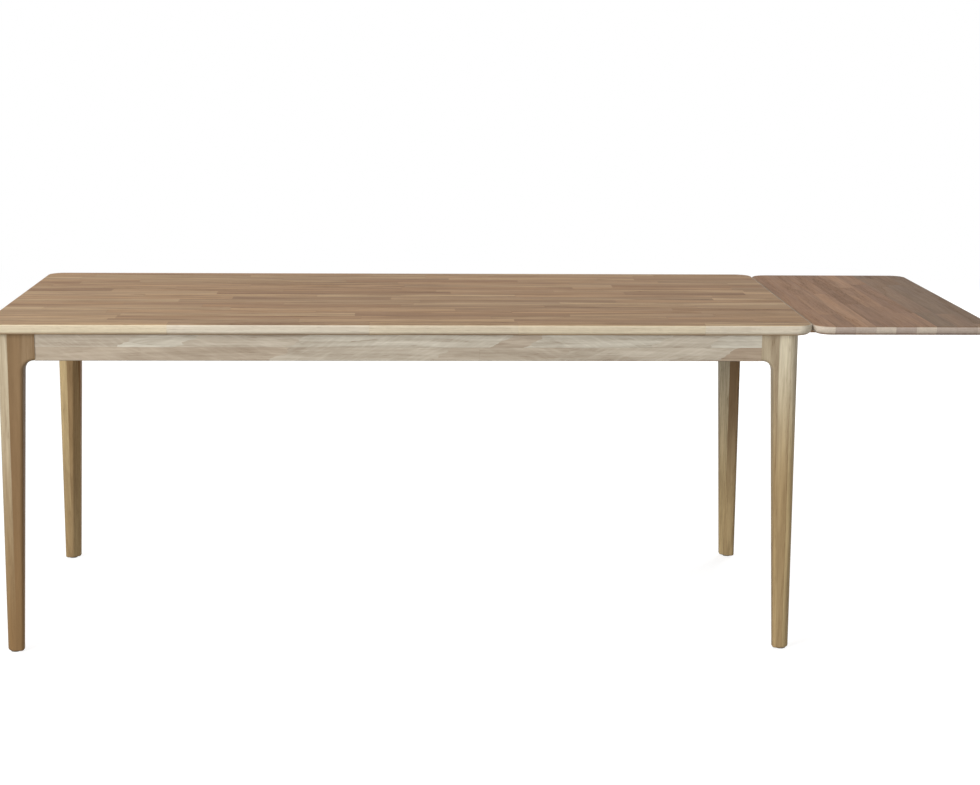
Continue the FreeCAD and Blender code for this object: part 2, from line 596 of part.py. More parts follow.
def add_guide(label, bearer_y, side_sign):
    """Rail screwed under the top, with a lip that carries one edge of a bearer."""
    body = new_body(label, GUIDE_START_X, bearer_y, TOP_UNDERSIDE)
    outer = f"({CHANNEL_HALF} + Sizes.guide_web)"
    lip = f"({CHANNEL_HALF} - Sizes.guide_lip)"
    section = [(CHANNEL_HALF, "0"), (outer, "0"), (outer, f"(-{GUIDE_HEIGHT})"), (lip, f"(-{GUIDE_HEIGHT})"),
               (lip, f"(-{CHANNEL_DEPTH})"), (CHANNEL_HALF, f"(-{CHANNEL_DEPTH})")]
    outline = polygon(body, label + "_section", "YZ_Plane",
                      [(f"(({side_sign}) * {across})", height) for across, height in section])
    pad(body, outline, GUIDE_LENGTH)
    holes = circles(body, label + "_holes", "XY_Plane",
                    [(x, f"(({side_sign}) * {GUIDE_MID})") for x in GUIDE_SCREW_X], SCREW_HOLE_RADIUS)
    pocket_through(body, holes)
    return node(body, label)


def add_bearer(label, bearer_y):
    """Bearer that slides under the top and carries the leaf on its raised outer part."""
    body = new_body(label, "0", bearer_y)
    side = polygon(body, label + "_side", "XZ_Plane",
                   [(BEARER_START_X, BEARER_BOTTOM), (BEVEL_START_X, BEARER_BOTTOM),
                    (BEARER_END_X, f"({BEARER_BOTTOM} + Sizes.bearer_bevel_height)"),
                    (BEARER_END_X, LEAF_UNDERSIDE), (BEARER_STEP_X, LEAF_UNDERSIDE),
                    (BEARER_STEP_X, RUN_TOP), (BEARER_START_X, RUN_TOP)])
    pad(body, side, "Sizes.bearer_width", centred=True)
    holes = circles(body, label + "_holes", "XY_Plane", [(x, "0") for x in BEARER_SCREW_X], SCREW_HOLE_RADIUS)
    pocket_through(body, holes)
    drill(body, label + "_peg_hole", "(Sizes.peg_diameter / 2 + Sizes.joint_clearance)", "Sizes.peg_depth",
          (PEG_X, "0", BEARER_BOTTOM))
    return node(body, label)


def add_catch(label, y_sign):
    """Hook that swings out under the leaf; it is drawn released, along the end of the table."""
    body = new_body(label, CATCH_X, f"({y_sign} * {CATCH_Y})", f"({CATCH_TOP} - Sizes.catch_thickness)")
    nose = f"(Sizes.catch_reach + {PIN_SIDE})"
    hub = "(Sizes.catch_spacer_diameter / 2)"
    outline = [(f"(-{hub})", f"(-{hub})"), (hub, f"(-{hub})"), (hub, PIN_SIDE), (nose, PIN_SIDE),
               (nose, f"(-{PIN_SIDE})"), (HOOK_TIP, f"(-{PIN_SIDE})"), (HOOK_TIP, HOOK_SIDE),
               (f"(-{hub})", HOOK_SIDE)]
    sketch = polygon(body, label + "_outline", "XY_Plane",
                     [(f"(-{v})", f"(-({y_sign}) * {u})") for u, v in outline])
    pad(body, sketch, "Sizes.catch_thickness")
    drill(body, label + "_pivot_hole", "(Sizes.pivot_diameter / 2 + Sizes.pivot_clearance)",
          "Sizes.catch_thickness", ("0", "0", "0"))
    return node(body, label)


def sink(body, name, spots, radius, depth, from_x):
    """Blind holes up into the underside of a board."""
    holes = circles(body, name, "XY_Plane", [(f"({x} - {from_x})", y) for x, y in spots], radius)
    pocket(body, holes, depth, backwards=True)


def bolt_spots(distance):
    """Places on the leg bolts' axes, a distance in from the outer arrises."""
    return [leg_place(x_sign, y_sign, f"({distance} / sqrt(2))")
            + (BOLT_Z, Rotation(Vector(0, 0, 1), Vector(-x_sign, -y_sign, 0)))
            for side, y_sign, end, x_sign in CORNERS]


top = panel("table_top", "Sizes.top_length", "Sizes.top_thickness", TOP_MID_X, TOP_UNDERSIDE)
leaf = panel("leaf_panel", "Sizes.leaf_length", "Sizes.leaf_thickness", LEAF_MID_X, LEAF_UNDERSIDE)
for side, y_sign, end, x_sign in CORNERS:
    add_leg(f"leg_{side}_{end}", x_sign, y_sign)
    add_corner_block(f"corner_block_{side}_{end}", x_sign, y_sign)
for side, y_sign in SIDES:
    add_long_apron(f"apron_{side}", y_sign)
for rail, rail_x in CROSS_RAILS:
    add_cross_rail(rail, rail_x)
add_end_apron("apron_left_end", -1)
right_apron = add_end_apron("apron_right_end", 1)
notch = "(Sizes.bearer_width + 2 * Sizes.notch_clearance)"
for side, y_sign in SIDES:
    box(right_apron, "Subtractive", f"bearer_notch_{side}", ("Sizes.apron_thickness", notch, CHANNEL_DEPTH),
        ("(-Sizes.apron_thickness)", f"({y_sign} * {BEARER_Y} - {notch} / 2)",
         f"(Sizes.apron_height - {CHANNEL_DEPTH})"))

guide_spots = []
bearer_spots = []
peg_spots = []
for side, y_sign in SIDES:
    bearer_y = f"({y_sign} * {BEARER_Y})"
    add_bearer(f"bearer_{side}", bearer_y)
    bearer_spots += [(x, bearer_y) for x in BEARER_SCREW_X]
    peg_spots.append((PEG_X, bearer_y, f"({BEARER_BOTTOM} - Sizes.peg_drop)", None))
    for flank, side_sign in (("outer", y_sign), ("inner", -y_sign)):
        add_guide(f"guide_{side}_{flank}", bearer_y, side_sign)
        guide_spots += [(f"({GUIDE_START_X} + {x})", f"({bearer_y} + ({side_sign}) * {GUIDE_MID})")
                        for x in GUIDE_SCREW_X]
    add_catch(f"catch_hook_{side}", y_sign)

# Clips: place on the apron's inner face, turn, and the way in from that face.
clip_seats = []
for side, y_sign in SIDES:
    face_y = f"({y_sign} * ({LEG_HALF_Y} - {APRON_INNER}))"
    for step in (-1, 0, 1):
        clip_x = f"({TOP_MID_X} + ({step}) * ({LEG_HALF_X} - {BLOCK_END} - Sizes.clip_corner_offset))"
        clip_seats.append((clip_x, face_y, 0 if y_sign < 0 else 180, 0, -y_sign))
for step in (-1, 1):
    clip_seats.append((f"({TOP_MID_X} - ({LEG_HALF_X} - {APRON_INNER}))",
                       f"({step} * Sizes.end_clip_spacing / 2)", -90, 1, 0))
clip_seats.append((END_APRON_INNER_X, "0", 90, -1, 0))
clip_spots = [(f"({x} + ({in_x}) * {CLIP_SCREW_IN})", f"({y} + ({in_y}) * {CLIP_SCREW_IN})")
              for x, y, angle, in_x, in_y in clip_seats]
catch_spots = [(CATCH_X, f"({y_sign} * {CATCH_Y})") for side, y_sign in SIDES]
keeper_spots = [(KEEPER_X, y) for x, y in catch_spots]
dowel_rows = [f"({step} * {DOWEL_Y})" for step in (-1, 0, 1)]

sink(top, "top_screw_holes", guide_spots + clip_spots, SCREW_HOLE_RADIUS, PILOT_DEPTH, TOP_MID_X)
sink(top, "top_pivot_holes", catch_spots, PIVOT_HOLE_RADIUS, PILOT_DEPTH, TOP_MID_X)
sink(leaf, "leaf_screw_holes", bearer_spots, SCREW_HOLE_RADIUS, PILOT_DEPTH, LEAF_MID_X)
sink(leaf, "leaf_keeper_holes", keeper_spots, "(Sizes.keeper_diameter / 2 + Sizes.joint_clearance)",
     "Sizes.keeper_depth", LEAF_MID_X)
for index, row_y in enumerate(dowel_rows):
    drill(top, f"dowel_socket_{index}", "(Sizes.dowel_diameter / 2 + Sizes.dowel_clearance)",
          DOWEL_SOCKET_DEPTH, (HALF_TOP, row_y, f"({DOWEL_Z} - {TOP_UNDERSIDE})"), TOWARDS_TABLE)
    drill(leaf, f"dowel_hole_{index}", "(Sizes.dowel_diameter / 2 + Sizes.joint_clearance)", DOWEL_GRIP,
          ("(-Sizes.leaf_length / 2)", row_y, "(Sizes.leaf_thickness / 2)"), TOWARDS_LEAF)

glide = new_body("glide_master")
glide_radius = "(Sizes.glide_diameter / 2)"
nail_radius = "(Sizes.nail_diameter / 2)"
recess_radius = "(Sizes.nail_head_diameter / 2 + Sizes.joint_clearance)"
glide_half = "(Sizes.glide_thickness / 2)"
turned(glide, [(recess_radius, "0"), (f"({glide_radius} - Sizes.glide_chamfer)", "0"),
               (glide_radius, "Sizes.glide_chamfer"), (glide_radius, "Sizes.glide_thickness"),
               (NAIL_HOLE_RADIUS, "Sizes.glide_thickness"), (NAIL_HOLE_RADIUS, glide_half),
               (recess_radius, glide_half)])
nail = new_body("nail_master")
nail_head = "(Sizes.nail_head_diameter / 2)"
turned(nail, [("0", f"({glide_half} / 2)"), (nail_head, f"({glide_half} / 2)"), (nail_head, glide_half),
              (nail_radius, glide_half), (nail_radius, "Sizes.nail_length"), ("0", "Sizes.nail_length")])
foot_spots = [leg_place(x_sign, y_sign, FOOT_MIDDLE) + ("0", None)
              for side, y_sign, end, x_sign in CORNERS]
group("foot_glides", glide, foot_spots)
group("glide_nails", nail, foot_spots)

bolt = new_body("bolt_master")
bolt_radius = "(Sizes.bolt_diameter / 2)"
turned(bolt, [("0", "0"), (bolt_radius, "0"), (bolt_radius, f"({BOLT_LENGTH} - Sizes.bolt_chamfer)"),
              (f"({bolt_radius} - Sizes.bolt_chamfer)", BOLT_LENGTH), ("0", BOLT_LENGTH)])
washer = new_body("washer_master")
washer_radius = "(Sizes.washer_diameter / 2)"
turned(washer, [(BOLT_HOLE_RADIUS, "0"), (washer_radius, "0"), (washer_radius, "Sizes.washer_thickness"),
                (BOLT_HOLE_RADIUS, "Sizes.washer_thickness")])
nut = new_body("nut_master")
nut_point = "(Sizes.nut_width / sqrt(3))"
nut_flat = "(Sizes.nut_width / 2)"
nut_plan = [(nut_point, "0"), (f"({nut_point} / 2)", nut_flat), (f"(-{nut_point} / 2)", nut_flat),
            (f"(-{nut_point})", "0"), (f"(-{nut_point} / 2)", f"(-{nut_flat})"),
            (f"({nut_point} / 2)", f"(-{nut_flat})")]
pad(nut, polygon(nut, "nut_plan", "XY_Plane", nut_plan), "Sizes.nut_height")
drill(nut, "nut_bore", BOLT_HOLE_RADIUS, "Sizes.nut_height", ("0", "0", "0"))
group("leg_bolts", bolt, bolt_spots(f"(sqrt(2) * {BOLT_START})"))
group("leg_bolt_washers", washer, bolt_spots(BLOCK_FAR))
group("leg_bolt_nuts", nut, bolt_spots(f"({BLOCK_FAR} + Sizes.washer_thickness)"))

clip = new_body("clip_master")
clip_low = "(-(Sizes.groove_drop + Sizes.groove_height / 2 + Sizes.clip_thickness / 2))"
clip_rise = f"({clip_low} + Sizes.clip_thickness)"
clip_far = "(Sizes.clip_riser_gap + Sizes.clip_thickness)"
clip_side = [("(-Sizes.clip_tongue)", clip_low), (clip_far, clip_low), (clip_far, "(-Sizes.clip_thickness)"),
             ("Sizes.clip_flange", "(-Sizes.clip_thickness)"), ("Sizes.clip_flange", "0"),
             ("Sizes.clip_riser_gap", "0"), ("Sizes.clip_riser_gap", clip_rise),
             ("(-Sizes.clip_tongue)", clip_rise)]
pad(clip, polygon(clip, "clip_side", "YZ_Plane", clip_side), "Sizes.clip_width", centred=True)
drill(clip, "clip_hole", SCREW_HOLE_RADIUS, "Sizes.clip_thickness",
      ("0", CLIP_SCREW_IN, "(-Sizes.clip_thickness)"))
group("top_clips", clip, [(x, y, TOP_UNDERSIDE, Rotation(Vector(0, 0, 1), angle))
                          for x, y, angle, in_x, in_y in clip_seats])
clip_screw = screw("clip_screw_master", "(Sizes.clip_thickness + Sizes.screw_bite)")
group("top_clip_screws", clip_screw,
      [(x, y, f"({TOP_UNDERSIDE} - Sizes.clip_thickness)", None) for x, y in clip_spots])
guide_screw = screw("guide_screw_master", f"({GUIDE_HEIGHT} + Sizes.screw_bite)")
group("guide_screws", guide_screw,
      [(x, y, f"({TOP_UNDERSIDE} - {GUIDE_HEIGHT})", None) for x, y in guide_spots])
bearer_screw = screw("bearer_screw_master", f"({LEAF_UNDERSIDE} - {BEARER_BOTTOM} + Sizes.screw_bite)")
group("bearer_screws", bearer_screw, [(x, y, BEARER_BOTTOM, None) for x, y in bearer_spots])

dowel = new_body("dowel_master")
dowel_radius = "(Sizes.dowel_diameter / 2)"
dowel_neck = f"({dowel_radius} - Sizes.dowel_chamfer)"
turned(dowel, [("0", "0"), (dowel_neck, "0"), (dowel_radius, "Sizes.dowel_chamfer"),
               (dowel_radius, "(Sizes.dowel_length - Sizes.dowel_chamfer)"),
               (dowel_neck, "Sizes.dowel_length"), ("0", "Sizes.dowel_length")])
group("leaf_dowels", dowel, [(f"({LEAF_START_X} + {DOWEL_GRIP})", row_y, DOWEL_Z, TOWARDS_TABLE)
                             for row_y in dowel_rows])

peg = new_body("peg_master")
peg_radius = "(Sizes.peg_diameter / 2)"
peg_length = "(Sizes.peg_drop + Sizes.peg_depth)"
turned(peg, [("0", "0"), (peg_radius, "0"), (peg_radius, peg_length), ("0", peg_length)])
group("bearer_stop_pegs", peg, peg_spots)

spacer = new_body("spacer_master")
spacer_radius = "(Sizes.catch_spacer_diameter / 2)"
turned(spacer, [(PIVOT_HOLE_RADIUS, "0"), (spacer_radius, "0"), (spacer_radius, "Sizes.catch_spacer_height"),
                (PIVOT_HOLE_RADIUS, "Sizes.catch_spacer_height")])
group("catch_spacers", spacer,
      [(x, y, f"({TOP_UNDERSIDE} - Sizes.catch_spacer_height)", None) for x, y in catch_spots])
pivot = new_body("pivot_master")
pivot_head = "(Sizes.pivot_head_diameter / 2)"
pivot_shank = "(Sizes.pivot_diameter / 2)"
pivot_seat = f"({CATCH_TOP} - Sizes.catch_thickness - Sizes.pivot_end_play)"
pivot_length = f"({TOP_UNDERSIDE} + Sizes.screw_bite - {pivot_seat})"
turned(pivot, [("0", "(-Sizes.pivot_head_height)"), (pivot_head, "(-Sizes.pivot_head_height)"),
               (pivot_head, "0"), (pivot_shank, "0"), (pivot_shank, pivot_length), ("0", pivot_length)])
group("catch_pivot_screws", pivot, [(x, y, pivot_seat, None) for x, y in catch_spots])
keeper = new_body("keeper_master")
keeper_radius = "(Sizes.keeper_diameter / 2)"
keeper_length = "(Sizes.keeper_drop + Sizes.keeper_depth)"
turned(keeper, [("0", "0"), (keeper_radius, "0"), (keeper_radius, keeper_length), ("0", keeper_length)])
group("keeper_pins", keeper,
      [(x, y, f"({LEAF_UNDERSIDE} - Sizes.keeper_drop)", None) for x, y in keeper_spots])

doc.recompute()
for thing in doc.Objects:
    if {"Invalid", "Error"} & set(thing.State):
        raise RuntimeError(f"{thing.Label} did not build: {thing.State}")
for piece in NODES:
    if piece.Shape.isNull() or not piece.Shape.isValid():
        raise RuntimeError(f"{piece.Label} has no valid shape")
os.makedirs("parts", exist_ok=True)
for piece in NODES:
    piece.Shape.exportStep(f"parts/{piece.Label}.step")
    print(piece.Label, len(piece.Shape.Solids), round(piece.Shape.Volume))
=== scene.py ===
"""Looks of an oak dining table with an end leaf that draws out on bearers.

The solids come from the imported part. This file gives them their finishes, adds the cut detail of the
fasteners, and sets the stage with its floor, lamps and camera.
"""

import math

import bmesh
import bpy
from mathutils import Color, Matrix, Vector


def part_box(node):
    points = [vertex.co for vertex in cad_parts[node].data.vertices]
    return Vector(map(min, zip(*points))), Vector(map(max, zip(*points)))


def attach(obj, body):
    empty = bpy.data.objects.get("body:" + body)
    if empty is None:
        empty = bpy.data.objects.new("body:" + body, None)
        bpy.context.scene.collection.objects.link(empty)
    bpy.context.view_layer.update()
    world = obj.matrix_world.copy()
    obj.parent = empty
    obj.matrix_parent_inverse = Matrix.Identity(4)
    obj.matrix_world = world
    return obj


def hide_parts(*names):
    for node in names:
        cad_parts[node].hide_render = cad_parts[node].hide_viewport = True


bl_info = {
    "name": "Draw Leaf Table",
    "version": (1, 0, 0),
    "blender": (4, 5, 0),
    "location": "View3D > Sidebar > Table",
    "description": "Finishes for an oak table with an end leaf that draws out",
    "category": "Object",
}

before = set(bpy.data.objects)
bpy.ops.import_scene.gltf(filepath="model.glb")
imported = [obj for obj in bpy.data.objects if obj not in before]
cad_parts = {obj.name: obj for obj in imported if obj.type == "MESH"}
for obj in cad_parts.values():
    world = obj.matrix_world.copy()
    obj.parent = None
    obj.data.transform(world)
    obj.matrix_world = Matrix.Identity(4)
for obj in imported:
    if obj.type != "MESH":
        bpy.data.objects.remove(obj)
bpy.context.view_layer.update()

CORNERS = ("front_left", "front_right", "rear_left", "rear_right")
TOP_LOW, TOP_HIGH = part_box("table_top")
LEAF_LOW, LEAF_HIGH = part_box("leaf_panel")
APRON_LOW, APRON_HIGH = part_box("apron_front")

VALUE = "NodeSocketFloat"
POINT = "NodeSocketVector"
COUNT = "NodeSocketInt"
SHAPE = "NodeSocketGeometry"
MATERIAL = "NodeSocketMaterial"


# Settings


def length(name, description, default):
    """A size in metres."""
    return bpy.props.FloatProperty(
        name=name, description=description, default=default, unit="LENGTH", precision=4)


def share(name, description, default):
    """A part of the whole, from none to all."""
    return bpy.props.FloatProperty(
        name=name, description=description, default=default, min=0.0, max=1.0, subtype="FACTOR")


def figure_share(default):
    """How strongly the figure of a wood shows."""
    return share("Figure", "Strength of the rings, streaks and fibres", default)


def tint(name, description, default):
    """A colour as a screen shows it."""
    return bpy.props.FloatVectorProperty(
        name=name, description=description, default=default, size=3, min=0.0, max=1.0, subtype="COLOR_GAMMA")


def power(name, description, default):
    """The strength of a lamp in watts."""
    return bpy.props.FloatProperty(
        name=name, description=description, default=default, min=0.0, unit="POWER")


def angle(name, description, default):
    """A turn in degrees, kept in radians."""
    return bpy.props.FloatProperty(
        name=name, description=description, default=math.radians(default), subtype="ANGLE")


def spot(name, description, default):
    """A place in the table's frame, in metres."""
    return bpy.props.FloatVectorProperty(
        name=name, description=description, default=default, size=3, subtype="TRANSLATION", unit="LENGTH")


def part(name, description, settings):
    """The settings of one part of the table."""
    return bpy.props.PointerProperty(name=name, description=description, type=settings)


class TopFinish(bpy.types.PropertyGroup):
    """Oiled oak staves that run along the fixed top."""

    rows: bpy.props.IntProperty(name="Rows", description="Rows of staves across the top", default=20, min=1)
    stave_length: length("Stave length", "Usual length of a stave", 0.42)
    pale: tint("Pale stave", "Colour of the palest staves", (0.82, 0.705, 0.545))
    dark: tint("Dark stave", "Colour of the darkest staves", (0.57, 0.43, 0.29))
    warm: tint("Warm stave", "Colour that some staves lean to", (0.75, 0.58, 0.405))
    grain: tint("Grain", "Colour of the pores and late rings", (0.39, 0.265, 0.16))
    figure: figure_share(1.0)
    # The edge colours hold a painted highlight: the rounded edge is painted paler than the staves it is cut
    # from.
    edge: tint("Edge", "Colour of the palest rounded edge", (0.87, 0.83, 0.75))
    edge_dark: tint("Dark edge", "Colour of the darkest rounded edge", (0.88, 0.825, 0.71))


class LeafFinish(bpy.types.PropertyGroup):
    """Oiled oak staves that run across the table in the leaf."""

    rows: bpy.props.IntProperty(name="Rows", description="Rows of staves along the leaf", default=9, min=1)
    stave_length: length("Stave length", "Usual length of a stave", 0.50)
    pale: tint("Pale stave", "Colour of the palest staves", (0.685, 0.522, 0.378))
    dark: tint("Dark stave", "Colour of the darkest staves", (0.545, 0.40, 0.277))
    warm: tint("Warm stave", "Colour of the row beside the seam", (0.665, 0.49, 0.343))
    grey: tint("Grey stave", "Colour of the rows at the far end", (0.435, 0.353, 0.253))
    grain: tint("Grain", "Colour of the pores and late rings", (0.36, 0.25, 0.17))
    figure: figure_share(0.78)
    # The stave-end colours hold each row's own end tone and a painted highlight on the rounded edge.
    edge: tint("Edge", "Colour of the palest stave ends", (0.825, 0.775, 0.705))
    edge_dark: tint("Dark edge", "Colour of the darkest stave ends", (0.625, 0.555, 0.515))


class LegFinish(bpy.types.PropertyGroup):
    """Oak lamellas that stand upright in the legs."""

    lamella: length("Lamella", "Thickness of one upright lamella", 0.0273)
    pale: tint("Pale lamella", "Colour of the palest lamellas", (0.895, 0.86, 0.76))
    dark: tint("Dark lamella", "Colour of the darkest lamellas", (0.52, 0.42, 0.295))
    # The foot colour is partly a warm stain and partly painted shade that darkens the legs towards the foot.
    foot: tint("Foot stain", "Stain that deepens towards the foot", (0.93, 0.86, 0.73))
    grain: tint("Grain", "Colour of the pores and late rings", (0.40, 0.30, 0.18))
    figure: figure_share(0.8)


class ApronFinish(bpy.types.PropertyGroup):
    """Greyer oak lamellas that lie on each other in the aprons."""

    slant: bpy.props.FloatProperty(
        name="Slant", description="How far a scarfed end leans, for its height", default=1.7)
    waver: length("Waver", "How far a scarfed end strays from its straight line", 0.05)
    pale: tint("Pale lamella", "Colour of the palest lamellas", (0.81, 0.79, 0.73))
    dark: tint("Dark lamella", "Colour of the darkest lamellas", (0.66, 0.585, 0.50))
    grain: tint("Grain", "Colour of the pores and late rings", (0.48, 0.41, 0.33))
    figure: figure_share(0.8)


class InnerFinish(bpy.types.PropertyGroup):
    """Plain oiled beech of the hidden frame."""

    pale: tint("Pale wood", "Colour of the palest wood", (0.80, 0.69, 0.54))
    dark: tint("Dark wood", "Colour of the darkest wood", (0.70, 0.57, 0.43))
    warm: tint("Warm wood", "Colour that some pieces lean to", (0.76, 0.61, 0.47))
    grain: tint("Grain", "Colour of the fine flecks", (0.50, 0.37, 0.25))
    figure: figure_share(0.6)


class HardwareFinish(bpy.types.PropertyGroup):
    """Zinc plated steel and moulded feet."""

    steel: tint("Steel", "Colour of the bright plating", (0.77, 0.77, 0.75))
    stain_and_shade: tint("Stain", "Colour of the dull plating", (0.58, 0.57, 0.53))
    glide: tint("Glide", "Colour of the moulded foot glides", (0.36, 0.31, 0.26))


class FastenerSizes(bpy.types.PropertyGroup):
    """Screws under the top and bolts in the corners."""

    screw_shank: length("Screw shank", "Diameter of a screw's shank", 0.004)
    screw_head: length("Screw head", "Height of a screw's domed head", 0.0025)
    screw_pitch: length("Screw pitch", "Distance between the turns of a screw's thread", 0.0018)
    pivot_shank: length("Pivot shank", "Diameter of a pivot screw's shank", 0.006)
    pivot_head: length("Pivot head", "Height of a pivot screw's domed head", 0.003)
    pivot_pitch: length("Pivot pitch", "Distance between the turns of a pivot screw's thread", 0.0024)
    bolt_pitch: length("Bolt pitch", "Distance between the turns of a bolt's thread", 0.00125)
    ridge: length("Ridge", "Size of the thread's ridge", 0.0005)
    seed: bpy.props.IntProperty(name="Seed", description="Choice of how far each one is turned", default=7)


class StageSettings(bpy.types.PropertyGroup):
    """Floor, lamps and camera."""

    floor_size: length("Floor size", "Side of the square floor", 60.0)
    floor_bounce: share("Floor bounce", "Share of the light that the floor throws back on the table", 0.17)
    floor_grey: share("Floor grey", "Share of the floor's white that shade can take away", 0.48)
    floor_glow: share("Floor glow", "Share of the floor's white that stays in shade", 0.78)
    floor_near: length("Floor near", "How far out the floor keeps its shade", 3.0)
    floor_far: length("Floor far", "How far out the floor is plain white", 7.0)
    ambient: share("Ambient", "Strength of the even light from all sides", 0.24)
    key_spot: spot("Key place", "Middle of the tall lamp at the left", (-5.2, -5.4, 2.5))
    key_size: length("Key size", "Side of the tall lamp at the left", 3.2)
    key_power: power("Key power", "Strength of the tall lamp at the left", 395.0)
    fill_spot: spot("Fill place", "Middle of the lamp beside the camera", (0.8, -6.4, 1.0))
    fill_size: length("Fill size", "Side of the lamp beside the camera", 2.4)
    fill_power: power("Fill power", "Strength of the lamp beside the camera", 165.0)
    sky_spot: spot("Overhead place", "Middle of the lamp over the table", (-2.0, -0.6, 3.6))
    sky_size: length("Overhead size", "Side of the lamp over the table", 3.0)
    sky_power: power("Overhead power", "Strength of the lamp over the table", 36.0)
    back_spot: spot("Back place", "Middle of the lamp behind the table", (3.2, 5.2, 2.2))
    back_size: length("Back size", "Side of the lamp behind the table", 3.0)
    back_power: power("Back power", "Strength of the lamp behind the table", 220.0)
    aim: spot("Aim", "Place that the lamps point at", (-0.2, 0.0, 0.6))
    camera_spot: spot("Camera place", "Where the camera stands", (-0.18338, -4.91284, 1.40714))
    camera_pitch: angle("Camera pitch", "How far the camera looks up", -10.342)
    camera_yaw: angle("Camera yaw", "How far the camera turns left", -2.269)
    camera_roll: angle("Camera roll", "How far the camera leans", -0.430)
    lens: bpy.props.FloatProperty(
        name="Lens", description="Focal length on a 36 mm wide sensor", default=76.78, unit="CAMERA")


class TableSettings(bpy.types.PropertyGroup):
    """All the table's settings."""

    top: part("Top", "Finish of the fixed top", TopFinish)
    leaf: part("Leaf", "Finish of the leaf", LeafFinish)
    legs: part("Legs", "Finish of the legs", LegFinish)
    aprons: part("Aprons", "Finish of the aprons", ApronFinish)
    inner: part("Inner frame", "Finish of the hidden wood", InnerFinish)
    hardware: part("Hardware", "Finish of the metal and the glides", HardwareFinish)
    fasteners: part("Fasteners", "Sizes of the screws and bolts", FastenerSizes)
    stage: part("Stage", "Floor, lamps and camera", StageSettings)


# Node helpers

# Places of sockets that share their name with others of the same node
MIX_COLOURS = (0, 6, 7)
MIX_COLOUR = 2
MIX_VALUES = (0, 2, 3)
RANDOM_MOST = 3
RANDOM_VALUE = 1


class Wire:
    """An output of a node, on which plain sums make further nodes."""

    def __init__(self, socket):
        self.socket = socket
        self.tree = socket.id_data

    def __add__(self, other):
        return calc("ADD", self, other)

    def __sub__(self, other):
        return calc("SUBTRACT", self, other)

    def __rsub__(self, other):
        return calc("SUBTRACT", other, self)

    def __mul__(self, other):
        return calc("MULTIPLY", self, other)

    def __truediv__(self, other):
        return calc("DIVIDE", self, other)

    def __gt__(self, other):
        return calc("GREATER_THAN", self, other)

    def __lt__(self, other):
        return calc("LESS_THAN", self, other)


def linear(colour):
    """The light of a screen colour, with full alpha."""
    return (*Color(colour).from_srgb_to_scene_linear(), 1.0)


def feed(value, socket):
    """Links a wire to an input, or sets a plain value on the input itself."""
    if isinstance(value, Wire):
        socket.id_data.links.new(value.socket, socket)
    else:
        socket.default_value = value


def feed_all(values, sockets):
    """Feeds values to inputs in their order."""
    for value, socket in zip(values, sockets):
        feed(value, socket)


def add(tree, kind, values=None, settings=None):
    """A node of that kind, with the values of its named inputs and its settings."""
    made = tree.nodes.new(kind)
    for name, setting in (settings or {}).items():
        setattr(made, name, setting)
    for name, value in (values or {}).items():
        feed(value, made.inputs[name])
    return made


def wire(tree, kind, values=None, settings=None, output=0):
    """The first output of a new node, or the one that is named."""
    return Wire(add(tree, kind, values, settings).outputs[output])


def calc(operation, *values):
    """The result of a sum on up to three numbers or vectors."""
    wires = [value for value in values if isinstance(value, Wire)]
    vectors = any(found.socket.type == "VECTOR" for found in wires)
    kind = "ShaderNodeVectorMath" if vectors else "ShaderNodeMath"
    made = add(wires[0].tree, kind, settings={"operation": operation})
    feed_all(values, made.inputs)
    return Wire(made.outputs[0])


def split(vector):
    """The three numbers of a vector."""
    return [Wire(number) for number in add(vector.tree, "ShaderNodeSeparateXYZ", {"Vector": vector}).outputs]


def join(tree, x, y, z):
    """A vector of three numbers."""
    return wire(tree, "ShaderNodeCombineXYZ", {"X": x, "Y": y, "Z": z})


def ease(value, low, high, to_low=0.0, to_high=1.0):
    """Soft step of a value between two others."""
    values = {"Value": value, "From Min": low, "From Max": high, "To Min": to_low, "To Max": to_high}
    return wire(value.tree, "ShaderNodeMapRange", values, {"interpolation_type": "SMOOTHSTEP"})


def blend(amount, first, second, mode="MIX"):
    """A mix of two colours, or one colour stained by the other."""
    settings = {"data_type": "RGBA", "clamp_factor": True, "blend_type": mode}
    made = add(amount.tree, "ShaderNodeMix", settings=settings)
    feed_all((amount, first, second), (made.inputs[place] for place in MIX_COLOURS))
    return Wire(made.outputs[MIX_COLOUR])


def choose(amount, first, second):
    """A mix of two values."""
    made = add(amount.tree, "ShaderNodeMix", settings={"data_type": "FLOAT", "clamp_factor": True})
    feed_all((amount, first, second), (made.inputs[place] for place in MIX_VALUES))
    return Wire(made.outputs[0])


def noise(vector, waves, detail=2.0, roughness=0.5):
    """Soft noise with a number of waves to the metre on each axis."""
    values = {"Vector": vector * waves, "Scale": 1.0, "Detail": detail, "Roughness": roughness}
    return wire(vector.tree, "ShaderNodeTexNoise", values)


def marks(vector, low, high, **kind):
    """Noise of that kind as marks, which are bare below one of its values and full above another."""
    return ease(noise(vector, **kind), low, high)


def chance(value):
    """A random number that belongs to a value."""
    return wire(value.tree, "ShaderNodeTexWhiteNoise", {"W": value}, {"noise_dimensions": "1D"}, "Value")


def new_group(name, inputs, outputs, kind="ShaderNodeTree"):
    """An empty group, the wires of its named inputs and the sockets of its outputs."""
    tree = bpy.data.node_groups.new(name, kind)
    for in_out, sockets in (("INPUT", inputs), ("OUTPUT", outputs)):
        for label, socket_type in sockets:
            tree.interface.new_socket(label, in_out=in_out, socket_type=socket_type)
    given = {socket.name: Wire(socket) for socket in add(tree, "NodeGroupInput").outputs if socket.name}
    return tree, given, add(tree, "NodeGroupOutput").inputs


def put_out(result, values):
    """Links values to the outputs of their group that have their names."""
    for name, value in values.items():
        feed(value, result[name])


